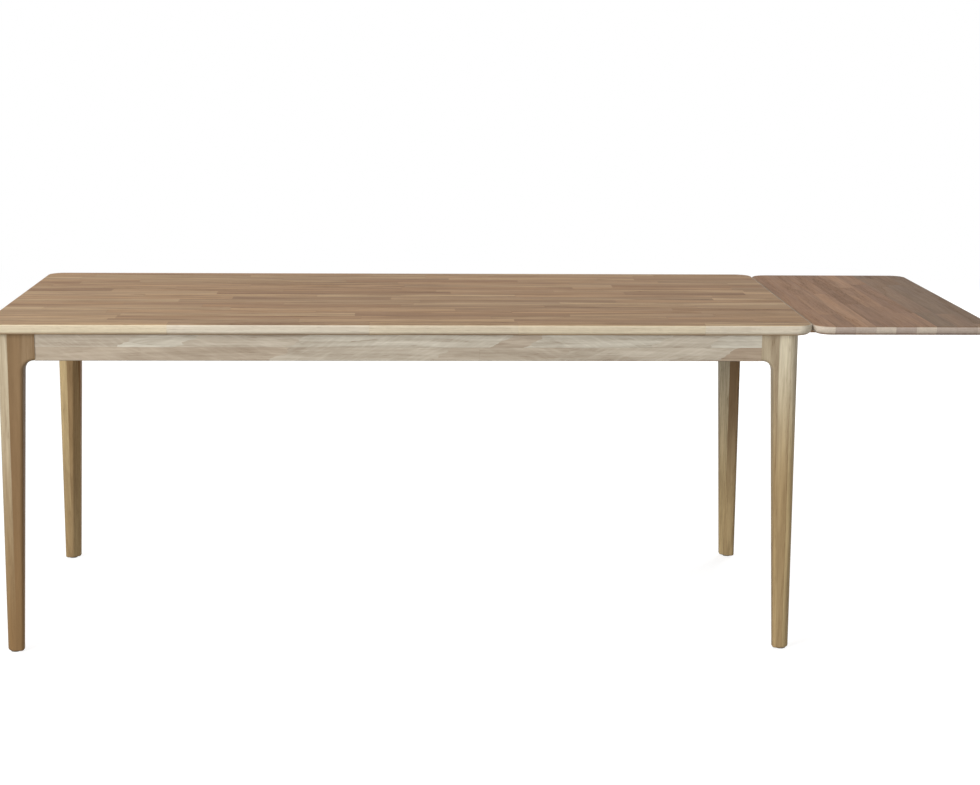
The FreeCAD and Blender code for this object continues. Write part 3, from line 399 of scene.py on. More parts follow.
def use_group(tree, group, values):
    """The named outputs of a group that is placed in a tree."""
    made = add(tree, "ShaderNodeGroup", values, {"node_tree": group})
    return {socket.name: Wire(socket) for socket in made.outputs}


def emptied(owner):
    """The node tree of a material or a world, with no node left in it."""
    owner.use_nodes = True
    owner.node_tree.nodes.clear()
    return owner.node_tree


# Shared wood groups

ROW_JUMP = 400.0
STAVE_UNEVENNESS = 0.8
TONE_NEAR_MEAN = 0.35
TONE_FAR_OUT = 2.6
GLUE_LINE = 0.0009
GRAIN_SHIFT = (30.0, 30.0, 30.0)
PITH_RANGE = 0.14
PITH_DEPTH = 0.012
PITH_DEPTH_RANGE = 0.09
RIPPLE_SIZE = 0.003
EARLY_WOOD = 0.55
LATE_WOOD = 0.88
FAINT_RING = 0.4
LONE_PORES = 0.3
RAY_LEAN_RANGE = 1.2

# Waves to the metre along, across and into the wood
WANDER_WAVES = (1.1, 7.0, 7.0)
RIPPLE_WAVES = (7.0, 60.0, 60.0)
STREAKS = {"waves": (3.6, 55.0, 55.0), "detail": 3.0, "low": 0.28, "high": 0.72}
FIBRES = {"waves": (9.0, 260.0, 260.0), "detail": 4.0, "roughness": 0.65, "low": 0.25, "high": 0.75}
PORES = {"waves": (38.0, 1100.0, 1100.0), "low": 0.56, "high": 0.70}
RAYS = {"waves": (23.0, 190.0, 190.0), "detail": 3.0, "low": 0.42, "high": 0.72}


def stave_layout():
    """Shares wood out into rows of staves, each with its random values, own coordinates and glue lines."""
    name = "stave_layout"
    if name in bpy.data.node_groups:
        return bpy.data.node_groups[name]
    tree, given, result = new_group(
        name,
        [("Position", POINT), ("Row Start", VALUE), ("Row Width", VALUE),
         ("Stave Length", VALUE), ("Seed", VALUE)],
        [("Row", VALUE), ("Tone", VALUE), ("Tint", VALUE),
         ("Shift", POINT), ("Local", POINT), ("Glue", VALUE)])
    along, across, depth = split(given["Position"])
    rows = (across - given["Row Start"]) / given["Row Width"]
    row = calc("FLOOR", rows)
    from_middle = rows - row - 0.5
    local_across = from_middle * given["Row Width"]
    staves = chance(row + given["Seed"]) * ROW_JUMP + along / given["Stave Length"]
    values = {"W": staves, "Scale": 1.0, "Randomness": STAVE_UNEVENNESS}
    cells = {"voronoi_dimensions": "1D"}
    colour = wire(tree, "ShaderNodeTexVoronoi", values, cells, "Color")
    edge = wire(tree, "ShaderNodeTexVoronoi", values, {**cells, "feature": "DISTANCE_TO_EDGE"}, "Distance")
    to_end = edge * given["Stave Length"]
    to_side = (0.5 - calc("ABSOLUTE", from_middle)) * given["Row Width"]
    random_tone, random_tint, _ = split(colour)
    from_mean = random_tone - 0.5
    spread = from_mean * from_mean * TONE_FAR_OUT + TONE_NEAR_MEAN
    put_out(result, {
        "Row": row,
        "Tone": from_mean * spread + 0.5,
        "Tint": random_tint,
        "Shift": colour,
        "Local": join(tree, along, local_across, depth),
        "Glue": ease(calc("MINIMUM", to_end, to_side), 0.0, GLUE_LINE, 1.0, 0.0)})
    return tree


def oak_grain():
    """Growth rings, streaks, open pores and ray flecks of sawn oak, in a stave's own coordinates."""
    name = "oak_grain"
    if name in bpy.data.node_groups:
        return bpy.data.node_groups[name]
    tree, given, result = new_group(
        name,
        [("Local", POINT), ("Shift", POINT), ("Ring Spacing", VALUE), ("Wander", VALUE)],
        [("Rings", VALUE), ("Streaks", VALUE), ("Fibres", VALUE), ("Pores", VALUE), ("Rays", VALUE)])
    moved = given["Shift"] * GRAIN_SHIFT + given["Local"]
    random_lean, random_across, random_depth = split(given["Shift"])
    _, across, depth = split(given["Local"])
    across = across + (random_across - 0.5) * PITH_RANGE
    depth = depth + (random_depth * PITH_DEPTH_RANGE + PITH_DEPTH)
    radius = calc("SQRT", across * across + depth * depth)
    radius = radius + noise(moved, WANDER_WAVES) * given["Wander"] + noise(moved, RIPPLE_WAVES) * RIPPLE_SIZE
    phase = radius / given["Ring Spacing"]
    ring = calc("FLOOR", phase)
    within = phase - ring
    line = calc("MAXIMUM", ease(within, 0.0, EARLY_WOOD, 1.0, 0.0), ease(within, LATE_WOOD, 1.0))
    rings = line * (chance(ring) * (1.0 - FAINT_RING) + FAINT_RING)
    lean = (random_lean - 0.5) * RAY_LEAN_RANGE
    settings = {"rotation_type": "Z_AXIS"}
    leaning = wire(tree, "ShaderNodeVectorRotate", {"Vector": moved, "Angle": lean}, settings)
    put_out(result, {
        "Rings": rings,
        "Streaks": marks(moved, **STREAKS),
        "Fibres": marks(moved, **FIBRES),
        "Pores": marks(moved, **PORES) * (rings * (1.0 - LONE_PORES) + LONE_PORES),
        "Rays": marks(leaning, **RAYS)})
    return tree


# Wood materials

WARM_SHARE = 0.6
RING_SHADE = 0.20
STREAK_SHADE = 0.42
FIBRE_SHADE = 0.30
PORE_SHADE = 0.40
GLUE_SHADE = 0.16
RAY_LIGHT = 0.05
WOOD_GLOSS = 0.28
WOOD_ROUGHNESS = 0.56
RING_ROUGHNESS = 0.06
FIBRE_ROUGHNESS = 0.08
PORE_ROUGHNESS = 0.22
WOOD_RELIEF = 0.6
PORE_DEPTH = 0.00025
PORE_DIP = -0.7
FIBRE_DIP = -0.25
GLUE_DIP = -0.5

PANEL_RINGS = {"spacing": 0.0042, "wander": 0.014}
LEG_RINGS = {"spacing": 0.0036, "wander": 0.024}
APRON_RINGS = {"spacing": 0.0050, "wander": 0.050}
INNER_RINGS = {"spacing": 0.0030, "wander": 0.010}

# How far from the upper face and from the underside a panel's rounded edge has its full painted highlight;
# towards the underside the highlight fades into painted shade on the lower rounding
RIM_TOP = 0.0025
RIM_SHADE_FADE = 0.008
RIM_FIGURE = 0.30
EDGE_TINTS = (0.2, 0.8)
LEAF_WARMTH = 0.35
LEAF_GREYNESS = 0.5
LEAF_GREYNESS_RANGE = 0.4
LEAF_BROWN_ROWS = 6
# How dark the ends of the leaf's rows are, from the seam outwards
LEAF_END_TONES = (0.10, 0.75, 0.60, 0.20, 0.75, 0.20, 0.65, 0.70, 0.50)

# A stave length at which no joint shows
UNJOINTED = 60.0
LEG_SEED_STEP = 20.0

# Upright bands of each leg: their offset from its left side, their tones at the head and at the foot, the
# heights between which these fade into each other, and the share of the foot's stain and painted shade that
# the head keeps. The tones are partly each lamella's own colour and partly painted light and shade of the
# faces that turn towards or away from the lamps, most of all at the head.
LEG_BANDS = {
    "front_left": {"offset": -0.004, "head": (0.42, 1.0, 0.95), "foot": (0.92, 0.92, 0.92),
                   "fade": (0.0, 0.5), "stain_and_shade": 0.1},
    "front_right": {"offset": 0.011, "head": (0.50, 0.05, 0.0), "foot": (0.50, 0.52, 0.20),
                    "fade": (0.35, 0.72), "stain_and_shade": 0.1},
    "rear_left": {"offset": -0.0078, "head": (0.22, 0.78, 1.0), "foot": (0.64, 0.56, 0.60),
                  "fade": (0.0, 0.4), "stain_and_shade": 1.0},
    "rear_right": {"offset": 0.0, "head": (0.0, 0.0, 1.0), "foot": (0.35, 0.25, 0.38),
                   "fade": (0.1, 0.5), "stain_and_shade": 0.0},
}

APRON_ROWS = 2
# Tones of the pieces along the lower and the upper lamella, and where each next piece starts
APRON_LOWER = {"tones": (0.74, 0.42, 0.58, 0.45, 0.95), "starts": (-0.46, -0.11, 0.15, 0.514)}
APRON_UPPER = {"tones": (0.50, 0.10, 0.48, 0.16, 0.66, 0.06, 0.36, -0.05),
               "starts": (-0.787, -0.659, -0.42, 0.021, 0.097, 0.369, 0.4925)}
APRON_RAY_LIGHT = 0.16
WAVER_WAVES = (14.0, 90.0, 14.0)
PIECE_SHIFT = (0.37, 0.61, 0.83)

# Wide and long blanks that the hidden pieces are cut from
BLANK_START = -5.0
BLANK_WIDTH = 0.30
BLANK_LENGTH = 8.0


def new_material(name):
    """A material with an empty principled surface, and its tree and surface."""
    material = bpy.data.materials.new(name)
    tree = emptied(material)
    surface = add(tree, "ShaderNodeBsdfPrincipled")
    add(tree, "ShaderNodeOutputMaterial", {"Surface": Wire(surface.outputs["BSDF"])})
    return material, tree, surface


def emboss(surface, height, strength, depth):
    """Gives a surface the relief of a height."""
    values = {"Height": height, "Strength": strength, "Distance": depth}
    feed(wire(height.tree, "ShaderNodeBump", values), surface.inputs["Normal"])


def own_place(tree):
    """The place on a piece, in the piece's own frame."""
    return wire(tree, "ShaderNodeTexCoord", output="Object")


def grain_axes(tree, along, across, depth):
    """The place on a piece as a vector along, across and into the wood."""
    axes = dict(zip("XYZ", split(own_place(tree))))
    return join(tree, axes[along], axes[across], axes[depth])


def stave_colour(layout, finish):
    """Colour of each stave, between pale and dark and leaning to warm."""
    stave = blend(layout["Tone"], linear(finish.pale), linear(finish.dark))
    return blend(layout["Tint"] * WARM_SHARE, stave, linear(finish.warm))


def figure_colour(stave, layout, grain, finish, figure, ray_light=RAY_LIGHT):
    """A stave's colour with its grain, pores, ray flecks and glue lines."""
    shade = grain["Rings"] * RING_SHADE + grain["Streaks"] * STREAK_SHADE + grain["Fibres"] * FIBRE_SHADE
    shade = shade * figure + grain["Pores"] * PORE_SHADE
    shade = shade + layout["Glue"] * GLUE_SHADE - grain["Rays"] * ray_light
    return blend(shade, stave, linear(finish.grain))


def finish_wood(surface, colour, layout, grain):
    """Connects a wood's colour, and its sheen and relief from the same grain."""
    feed(colour, surface.inputs["Base Color"])
    rough = grain["Pores"] * PORE_ROUGHNESS + grain["Rings"] * RING_ROUGHNESS
    rough = rough + grain["Fibres"] * FIBRE_ROUGHNESS + WOOD_ROUGHNESS
    feed(rough, surface.inputs["Roughness"])
    surface.inputs["Specular IOR Level"].default_value = WOOD_GLOSS
    height = grain["Pores"] * PORE_DIP + grain["Fibres"] * FIBRE_DIP + layout["Glue"] * GLUE_DIP
    emboss(surface, height, WOOD_RELIEF, PORE_DEPTH)


def lay_staves(position, row_start, row_width, stave_length, seed):
    """The stave layout at a position."""
    values = {"Position": position, "Row Start": row_start, "Row Width": row_width,
              "Stave Length": stave_length, "Seed": seed}
    return use_group(position.tree, stave_layout(), values)


def saw_grain(layout, spacing, wander, shift=None):
    """The oak grain of a stave layout, with rings that wander off by a length."""
    values = {"Local": layout["Local"], "Shift": shift or layout["Shift"],
              "Ring Spacing": spacing, "Wander": wander}
    return use_group(layout["Local"].tree, oak_grain(), values)


def panel_material(name, finish, axes, low, high, seed, colour_staves, tone_ends):
    """Glued staves with a painted highlight on the rounded edge, which fades into painted shade on the lower
    rounding.
    """
    material, tree, surface = new_material(name)
    place = grain_axes(tree, *axes)
    across = "XYZ".index(axes[1])
    width = (high[across] - low[across]) / finish.rows
    layout = lay_staves(place, low[across], width, finish.stave_length, seed)
    grain = saw_grain(layout, **PANEL_RINGS)
    colour = figure_colour(colour_staves(layout, finish), layout, grain, finish, finish.figure)
    _, _, height = split(place)
    # Painted highlight: the rounded edge is paler than its staves from just below the upper face; near the
    # underside it fades back to the stave colour, which is painted shade on the lower rounding.
    below_top = ease(height, high.z - RIM_TOP, high.z, 1.0, 0.0)
    fade_to_painted_underside_shade = ease(height, low.z, low.z + RIM_SHADE_FADE)
    rim_tone_and_highlight = blend(tone_ends(layout), linear(finish.edge), linear(finish.edge_dark))
    rim_tone_and_highlight = figure_colour(rim_tone_and_highlight, layout, grain, finish, RIM_FIGURE)
    finish_wood(surface, blend(below_top * fade_to_painted_underside_shade, colour, rim_tone_and_highlight), layout, grain)
    return material


def stepped(value, tones, starts):
    """A tone that changes at each start that a value passes, and the number of starts that it passed."""
    tone = tones[0]
    count = 0.0
    for start, before, after in zip(starts, tones, tones[1:]):
        past = value > start
        tone = past * (after - before) + tone
        count = past + count
    return tone, count


def row_tones(layout, tones):
    """The tone of each row of staves."""
    tone, _ = stepped(layout["Row"], tones, [row - 0.5 for row in range(1, len(tones))])
    return tone


def stave_ends(layout):
    """How dark the edge of each stave is."""
    return ease(layout["Tint"], *EDGE_TINTS)


def leaf_ends(layout):
    """How dark the end of each row of the leaf is."""
    return row_tones(layout, LEAF_END_TONES)


def leaf_rows(layout, finish):
    """Stave colours of the leaf: a warm row at the seam, then brown ones, and greyer ones at the far end."""
    stave = blend(layout["Tone"], linear(finish.pale), linear(finish.dark))
    first = layout["Row"] < 0.5
    stave = blend(first * LEAF_WARMTH, stave, linear(finish.warm))
    last = layout["Row"] > LEAF_BROWN_ROWS - 0.5
    greyness = layout["Tint"] * LEAF_GREYNESS_RANGE + LEAF_GREYNESS
    return blend(last * greyness, stave, linear(finish.grey))


def leg_material(corner, finish, seed):
    """Upright lamellas of one leg, whose tones hold painted light and shade, and which are warmer and darker
    towards the foot with a stain and painted shade.
    """
    bands = LEG_BANDS[corner]
    low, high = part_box("leg_" + corner)
    material, tree, surface = new_material("leg_oak_" + corner)
    place = grain_axes(tree, "Z", "X", "Y")
    layout = lay_staves(place, low.x + bands["offset"], finish.lamella, UNJOINTED, seed)
    grain = saw_grain(layout, **LEG_RINGS)
    height, _, _ = split(place)
    footing = ease(height, *bands["fade"], 1.0, 0.0)
    tone = choose(footing, row_tones(layout, bands["head"]), row_tones(layout, bands["foot"]))
    stave = blend(tone, linear(finish.pale), linear(finish.dark))
    # Painted shade: the foot's colour, partly a warm stain, multiplies the leg more and more towards the
    # foot.
    stain_and_shade = ease(height, bands["fade"][0], high.z, 1.0, bands["stain_and_shade"])
    stave = blend(stain_and_shade, stave, linear(finish.foot), "MULTIPLY")
    finish_wood(surface, figure_colour(stave, layout, grain, finish, finish.figure), layout, grain)
    return material


def apron_material(name, finish, along, depth, seed):
    """Lamellas of an apron, scarfed end to end."""
    material, tree, surface = new_material(name)
    place = grain_axes(tree, along, "Z", depth)
    height = (APRON_HIGH.z - APRON_LOW.z) / APRON_ROWS
    layout = lay_staves(place, APRON_LOW.z, height, UNJOINTED, seed)
    run, rise, _ = split(layout["Local"])
    scarf = (noise(place, WAVER_WAVES) - 0.5) * finish.waver + (run - rise * finish.slant)
    lower, lower_piece = stepped(scarf, **APRON_LOWER)
    upper, upper_piece = stepped(scarf, **APRON_UPPER)
    tone = choose(layout["Row"], lower, upper)
    piece = choose(layout["Row"], lower_piece, upper_piece)
    shift = calc("FRACTION", join(tree, piece, piece, piece) * PIECE_SHIFT + layout["Shift"])
    grain = saw_grain(layout, **APRON_RINGS, shift=shift)
    stave = blend(tone, linear(finish.pale), linear(finish.dark))
    colour = figure_colour(stave, layout, grain, finish, finish.figure, APRON_RAY_LIGHT)
    finish_wood(surface, colour, layout, grain)
    return material


def inner_material(name, finish, axes, seed):
    """Straight grained wood of a hidden rail or block."""
    material, tree, surface = new_material(name)
    layout = lay_staves(grain_axes(tree, *axes), BLANK_START, BLANK_WIDTH, BLANK_LENGTH, seed)
    grain = saw_grain(layout, **INNER_RINGS)
    colour = figure_colour(stave_colour(layout, finish), layout, grain, finish, finish.figure)
    finish_wood(surface, colour, layout, grain)
    return material


# Metal and moulded materials

SKIN_DEPTH = 0.0001
MOTTLE = {"waves": (90.0, 90.0, 90.0), "detail": 4.0, "low": 0.35, "high": 0.70}
BRUSH_WAVES = (300.0, 300.0, 2600.0)
BRUSH_RELIEF = 0.25
STEEL_ROUGHNESS = 0.26
MOTTLE_ROUGHNESS = 0.16
BRUSH_ROUGHNESS = 0.12
GRIT_WAVES = (1800.0, 1800.0, 1800.0)
GRIT_RELIEF = 0.3
SCUFFS = {"waves": (160.0, 420.0, 200.0), "detail": 3.0, "low": 0.45, "high": 0.75}
SCUFF_PALENESS = 1.4
GLIDE_ROUGHNESS = 0.5
SCUFF_ROUGHNESS = 0.2


def plated_steel(finish):
    """The one steel of all the metal pieces, with a mottled, lightly brushed skin."""
    name = "plated_steel"
    if name in bpy.data.materials:
        return bpy.data.materials[name]
    material, tree, surface = new_material(name)
    place = own_place(tree)
    mottle = marks(place, **MOTTLE)
    brush = noise(place, BRUSH_WAVES)
    feed(blend(mottle, linear(finish.steel), linear(finish.stain_and_shade)), surface.inputs["Base Color"])
    surface.inputs["Metallic"].default_value = 1.0
    rough = mottle * MOTTLE_ROUGHNESS + brush * BRUSH_ROUGHNESS + STEEL_ROUGHNESS
    feed(rough, surface.inputs["Roughness"])
    emboss(surface, brush, BRUSH_RELIEF, SKIN_DEPTH)
    return material


def glide_material(name, finish):
    """Moulded glide with a fine grained, scuffed skin."""
    material, tree, surface = new_material(name)
    place = own_place(tree)
    scuffs = marks(place, **SCUFFS)
    scuffed = tuple(min(1.0, channel * SCUFF_PALENESS) for channel in finish.glide)
    feed(blend(scuffs, linear(finish.glide), linear(scuffed)), surface.inputs["Base Color"])
    feed(scuffs * SCUFF_ROUGHNESS + GLIDE_ROUGHNESS, surface.inputs["Roughness"])
    emboss(surface, noise(place, GRIT_WAVES), GRIT_RELIEF, SKIN_DEPTH)
    return material


def dress(material, *nodes):
    """Gives solids of the frame their material."""
    for name in nodes:
        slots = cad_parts[name].data.materials
        slots.clear()
        slots.append(material)


# Fasteners

UP = Vector((0.0, 0.0, 1.0))
STEM_SIDES = 14
STEM_STEPS = 40
TURN_STEPS = 12
RIDGE_SIDES = 3
CORE_DEPTH = 1.2
NECK_STEP = 0.0006
TIP_LENGTH = 0.004
TIP_SHARE = 0.2
BOLT_CHAMFER = 0.0012
BOLT_END_SHARE = 0.8
HEAD_SEGMENTS = 24
HEAD_RINGS = 12
HEAD_SINK = 0.3
SLOT_LENGTH_SHARE = 0.58
SLOT_WIDTH_SHARE = 0.15
SLOT_DEPTH_SHARE = 0.6
SHARP_ANGLE = math.radians(40.0)
MERGE_DISTANCE = 1e-6
STEM_INPUTS = [
    ("Points", SHAPE), ("Shank Diameter", VALUE), ("Shank Length", VALUE), ("Plain Length", VALUE),
    ("Pitch", VALUE), ("Ridge", VALUE), ("Tip Length", VALUE), ("Tip Share", VALUE),
    ("Seed", COUNT), ("Material", MATERIAL)]
HEAD_INPUTS = [("Head Diameter", VALUE), ("Head Height", VALUE)]


def threaded_stem(tree, given, sink):
    """A round stem along Z, sunk below its start, with a plain neck, a threaded core and a tapered tip."""
    radius = given["Shank Diameter"] / 2.0
    core = radius - given["Ridge"] * CORE_DEPTH
    start = join(tree, 0.0, 0.0, sink * -1.0)
    end = join(tree, 0.0, 0.0, given["Shank Length"])
    line = wire(tree, "GeometryNodeCurvePrimitiveLine", {"Start": start, "End": end})
    line = wire(tree, "GeometryNodeResampleCurve", {"Curve": line, "Count": STEM_STEPS})
    along = wire(tree, "GeometryNodeSplineParameter", output="Length") - sink
    wide = ease(along, given["Plain Length"], given["Plain Length"] + NECK_STEP, radius, core)
    tip_start = given["Shank Length"] - given["Tip Length"]
    narrow = ease(along, tip_start, given["Shank Length"], 1.0, given["Tip Share"])
    ring = wire(tree, "GeometryNodeCurvePrimitiveCircle", {"Resolution": STEM_SIDES, "Radius": 1.0})
    stem = wire(tree, "GeometryNodeCurveToMesh", {
        "Curve": line, "Profile Curve": ring, "Scale": wide * narrow, "Fill Caps": True})
    run = tip_start - given["Plain Length"]
    ridge_radius = radius - given["Ridge"]
    spiral = wire(tree, "GeometryNodeCurveSpiral", {
        "Resolution": TURN_STEPS, "Rotations": run / given["Pitch"],
        "Start Radius": ridge_radius, "End Radius": ridge_radius, "Height": run})
    lift = join(tree, 0.0, 0.0, given["Plain Length"])
    lifted = wire(tree, "GeometryNodeTransform", {"Geometry": spiral, "Translation": lift})
    upright = wire(tree, "GeometryNodeSetCurveNormal", {"Curve": lifted}, {"mode": "Z_UP"})
    wedge = wire(tree, "GeometryNodeCurvePrimitiveCircle", {
        "Resolution": RIDGE_SIDES, "Radius": given["Ridge"]})
    outward = wire(tree, "GeometryNodeTransform", {"Geometry": wedge, "Rotation": (0.0, 0.0, math.pi)})
    thread = wire(tree, "GeometryNodeCurveToMesh", {
        "Curve": upright, "Profile Curve": outward, "Fill Caps": True})
    return stem, thread


def cross_head(tree, given):
    """A domed head below its seat, with a cross cut into it."""
    half = given["Head Diameter"] / 2.0
    ball = wire(tree, "GeometryNodeMeshUVSphere", {
        "Segments": HEAD_SEGMENTS, "Rings": HEAD_RINGS, "Radius": 1.0})
    scale = join(tree, half, half, given["Head Height"])
    dome = wire(tree, "GeometryNodeTransform", {"Geometry": ball, "Scale": scale})
    x, y, z = split(wire(tree, "GeometryNodeInputPosition"))
    below = join(tree, x, y, calc("MINIMUM", z, 0.0))
    head = wire(tree, "GeometryNodeSetPosition", {"Geometry": dome, "Position": below})
    long_side = given["Head Diameter"] * SLOT_LENGTH_SHARE
    short_side = given["Head Diameter"] * SLOT_WIDTH_SHARE
    depth = given["Head Height"] * (2.0 * SLOT_DEPTH_SHARE)
    lowest = join(tree, 0.0, 0.0, given["Head Height"] * -1.0)
    for sides in ((long_side, short_side), (short_side, long_side)):
        slot = wire(tree, "GeometryNodeMeshCube", {"Size": join(tree, *sides, depth)})
        slot = wire(tree, "GeometryNodeTransform", {"Geometry": slot, "Translation": lowest})
        head = wire(tree, "GeometryNodeMeshBoolean", {"Mesh 1": head, "Mesh 2": slot}, {
            "operation": "DIFFERENCE", "solver": "MANIFOLD"})
    return head


def fastener_tree(name, headed):
    """Sets a fastener on each point along its direction, each turned by chance."""
    inputs = STEM_INPUTS + HEAD_INPUTS if headed else STEM_INPUTS
    tree, given, result = new_group(name, inputs, [("Geometry", SHAPE)], "GeometryNodeTree")
    whole = add(tree, "GeometryNodeJoinGeometry")
    sink = given["Head Height"] * HEAD_SINK if headed else 0.0
    solids = list(threaded_stem(tree, given, sink))
    if headed:
        solids.append(cross_head(tree, given))
    for solid in solids:
        feed(solid, whole.inputs[0])
    direction = wire(
        tree, "GeometryNodeInputNamedAttribute", {"Name": "direction"}, {"data_type": "FLOAT_VECTOR"})
    aim = wire(tree, "FunctionNodeAlignRotationToVector", {"Vector": direction}, {"axis": "Z"})
    turn = add(tree, "FunctionNodeRandomValue", {"Seed": given["Seed"]}, {"data_type": "FLOAT"})
    feed(math.tau, turn.inputs[RANDOM_MOST])
    twist = wire(tree, "FunctionNodeAxisAngleToRotation", {"Angle": Wire(turn.outputs[RANDOM_VALUE])})
    placed = wire(tree, "FunctionNodeRotateRotation", {"Rotation": aim, "Rotate By": twist}, {
        "rotation_space": "LOCAL"})
    copies = wire(tree, "GeometryNodeInstanceOnPoints", {
        "Points": given["Points"], "Instance": Wire(whole.outputs[0]), "Rotation": placed})
    real = wire(tree, "GeometryNodeRealizeInstances", {"Geometry": copies})
    coated = wire(tree, "GeometryNodeSetMaterial", {"Geometry": real, "Material": given["Material"]})
    put_out(result, {"Geometry": coated})
    return tree


def solid_boxes(node):
    """Lowest and highest corner of each separate solid in a node of the frame."""
    shell = bmesh.new()
    shell.from_mesh(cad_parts[node].data)
    bmesh.ops.remove_doubles(shell, verts=shell.verts, dist=MERGE_DISTANCE)
    shell.verts.ensure_lookup_table()
    left = set(shell.verts)
    boxes = []
    for first in shell.verts:
        if first not in left:
            continue
        left.remove(first)
        solid = [first]
        for vertex in solid:
            near = {edge.other_vert(vertex) for edge in vertex.link_edges} & left
            left -= near
            solid.extend(sorted(near, key=lambda found: found.index))
        lows = Vector(min(vertex.co[axis] for vertex in solid) for axis in range(3))
        highs = Vector(max(vertex.co[axis] for vertex in solid) for axis in range(3))
        boxes.append((lows, highs))
    shell.free()
    return boxes


def set_fasteners(context, name, node, body, tree, spots, values):
    """A piece with one fastener at each spot, in place of a node of the frame."""
    mesh = bpy.data.meshes.new(name + "_spots")
    mesh.from_pydata([place for place, _ in spots], [], [])
    directions = mesh.attributes.new("direction", "FLOAT_VECTOR", "POINT")
    for item, (_, direction) in zip(directions.data, spots):
        item.vector = direction
    piece = bpy.data.objects.new(name, mesh)
    context.scene.collection.objects.link(piece)
    modifier = piece.modifiers.new("fasteners", "NODES")
    modifier.node_group = tree
    for socket in tree.interface.items_tree:
        if socket.name in values:
            modifier[socket.identifier] = values[socket.name]
    context.view_layer.update()
    solid = bpy.data.meshes.new_from_object(piece.evaluated_get(context.evaluated_depsgraph_get()))
    piece.modifiers.clear()
    piece.data = solid
    solid.name = name
    solid.shade_smooth()
    solid.set_sharp_from_angle(angle=SHARP_ANGLE)
    bpy.data.meshes.remove(mesh)
    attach(piece, body)
    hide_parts(node)


def drive_screws(context, name, node, body, tree, wood, head, values):
    """Upright screws whose heads are below and whose threads start where they enter the wood."""
    boxes = solid_boxes(node)
    low, high = boxes[0]
    seat = low.z + head
    spots = []
    for lowest, highest in boxes:
        middle = (lowest + highest) / 2
        spots.append((Vector((middle.x, middle.y, lowest.z + head)), UP))
    sizes = {"Head Diameter": high.x - low.x, "Head Height": head, "Shank Length": high.z - seat,
             "Plain Length": wood.z - seat, "Tip Length": TIP_LENGTH, "Tip Share": TIP_SHARE}
    set_fasteners(context, name, node, body, tree, spots, {**values, **sizes})


def draw_bolts(context, name, node, body, tree, values):
    """Level bolts that point from the legs to the middle of the table."""
    boxes = solid_boxes(node)
    middle = (APRON_LOW.x + APRON_HIGH.x) / 2
    low, high = boxes[0]
    thickness = high.z - low.z
    run = math.sqrt(2.0) * (high.x - low.x) - thickness
    spots = []
    for lowest, highest in boxes:
        centre = (lowest + highest) / 2
        inward_x = math.copysign(1.0, middle - centre.x)
        inward_y = math.copysign(1.0, -centre.y)
        direction = Vector((inward_x, inward_y, 0.0)).normalized()
        spots.append((centre - direction * run / 2, direction))
    sizes = {"Shank Diameter": thickness, "Shank Length": run, "Plain Length": 0.0,
             "Tip Length": BOLT_CHAMFER, "Tip Share": BOLT_END_SHARE}
    set_fasteners(context, name, node, body, tree, spots, {**values, **sizes})


# Stage

WHITE = 1.0
SENSOR_WIDTH = 36.0


def seen_directly(tree):
    """One where a ray comes from the camera, a reflection or clear material, and nothing elsewhere."""
    path = add(tree, "ShaderNodeLightPath").outputs
    camera, glossy, clear = (Wire(path[f"Is {kind} Ray"]) for kind in ("Camera", "Glossy", "Transmission"))
    return calc("MAXIMUM", calc("MAXIMUM", camera, glossy), clear)


def matt_paint(tree, grey):
    """A matt surface of a plain grey."""
    return wire(tree, "ShaderNodeBsdfDiffuse", {"Color": (grey, grey, grey, 1.0)})


def glow(tree, strength):
    """A surface that gives off white light."""
    return wire(tree, "ShaderNodeEmission", {"Strength": strength})


def mix_surfaces(amount, first, second):
    """The first surface, and the second where the amount is one."""
    made = add(amount.tree, "ShaderNodeMixShader")
    feed_all((amount, first, second), made.inputs)
    return Wire(made.outputs[0])


def lay_floor(context, settings):
    """A wide floor that looks white, keeps the table's shadow and is clear from below."""
    half = settings.floor_size / 2
    corners = [(-half, -half, 0.0), (half, -half, 0.0), (half, half, 0.0), (-half, half, 0.0)]
    mesh = bpy.data.meshes.new("floor")
    mesh.from_pydata(corners, [], [(0, 1, 2, 3)])
    floor = bpy.data.objects.new("floor", mesh)
    context.scene.collection.objects.link(floor)
    material = bpy.data.materials.new("floor_paint")
    tree = emptied(material)
    shaded = add(tree, "ShaderNodeAddShader")
    feed_all((matt_paint(tree, settings.floor_grey), glow(tree, settings.floor_glow)), shaded.inputs)
    away = wire(
        tree, "ShaderNodeVectorMath", {"Vector": own_place(tree)}, {"operation": "LENGTH"}, "Value")
    far = ease(away, settings.floor_near, settings.floor_far)
    seen = mix_surfaces(far, Wire(shaded.outputs[0]), glow(tree, WHITE))
    above = mix_surfaces(seen_directly(tree), matt_paint(tree, settings.floor_bounce), seen)
    underside = wire(tree, "ShaderNodeNewGeometry", output="Backfacing")
    whole = mix_surfaces(underside, above, wire(tree, "ShaderNodeBsdfTransparent"))
    add(tree, "ShaderNodeOutputMaterial", {"Surface": whole})
    mesh.materials.append(material)


def light_world(context, settings):
    """Even light from all sides, behind which the camera sees white."""
    world = bpy.data.worlds.new("studio")
    context.scene.world = world
    tree = emptied(world)
    strength = seen_directly(tree) * (WHITE - settings.ambient) + settings.ambient
    sky = wire(tree, "ShaderNodeBackground", {"Color": (1.0, 1.0, 1.0, 1.0), "Strength": strength})
    add(tree, "ShaderNodeOutputWorld", {"Surface": sky})


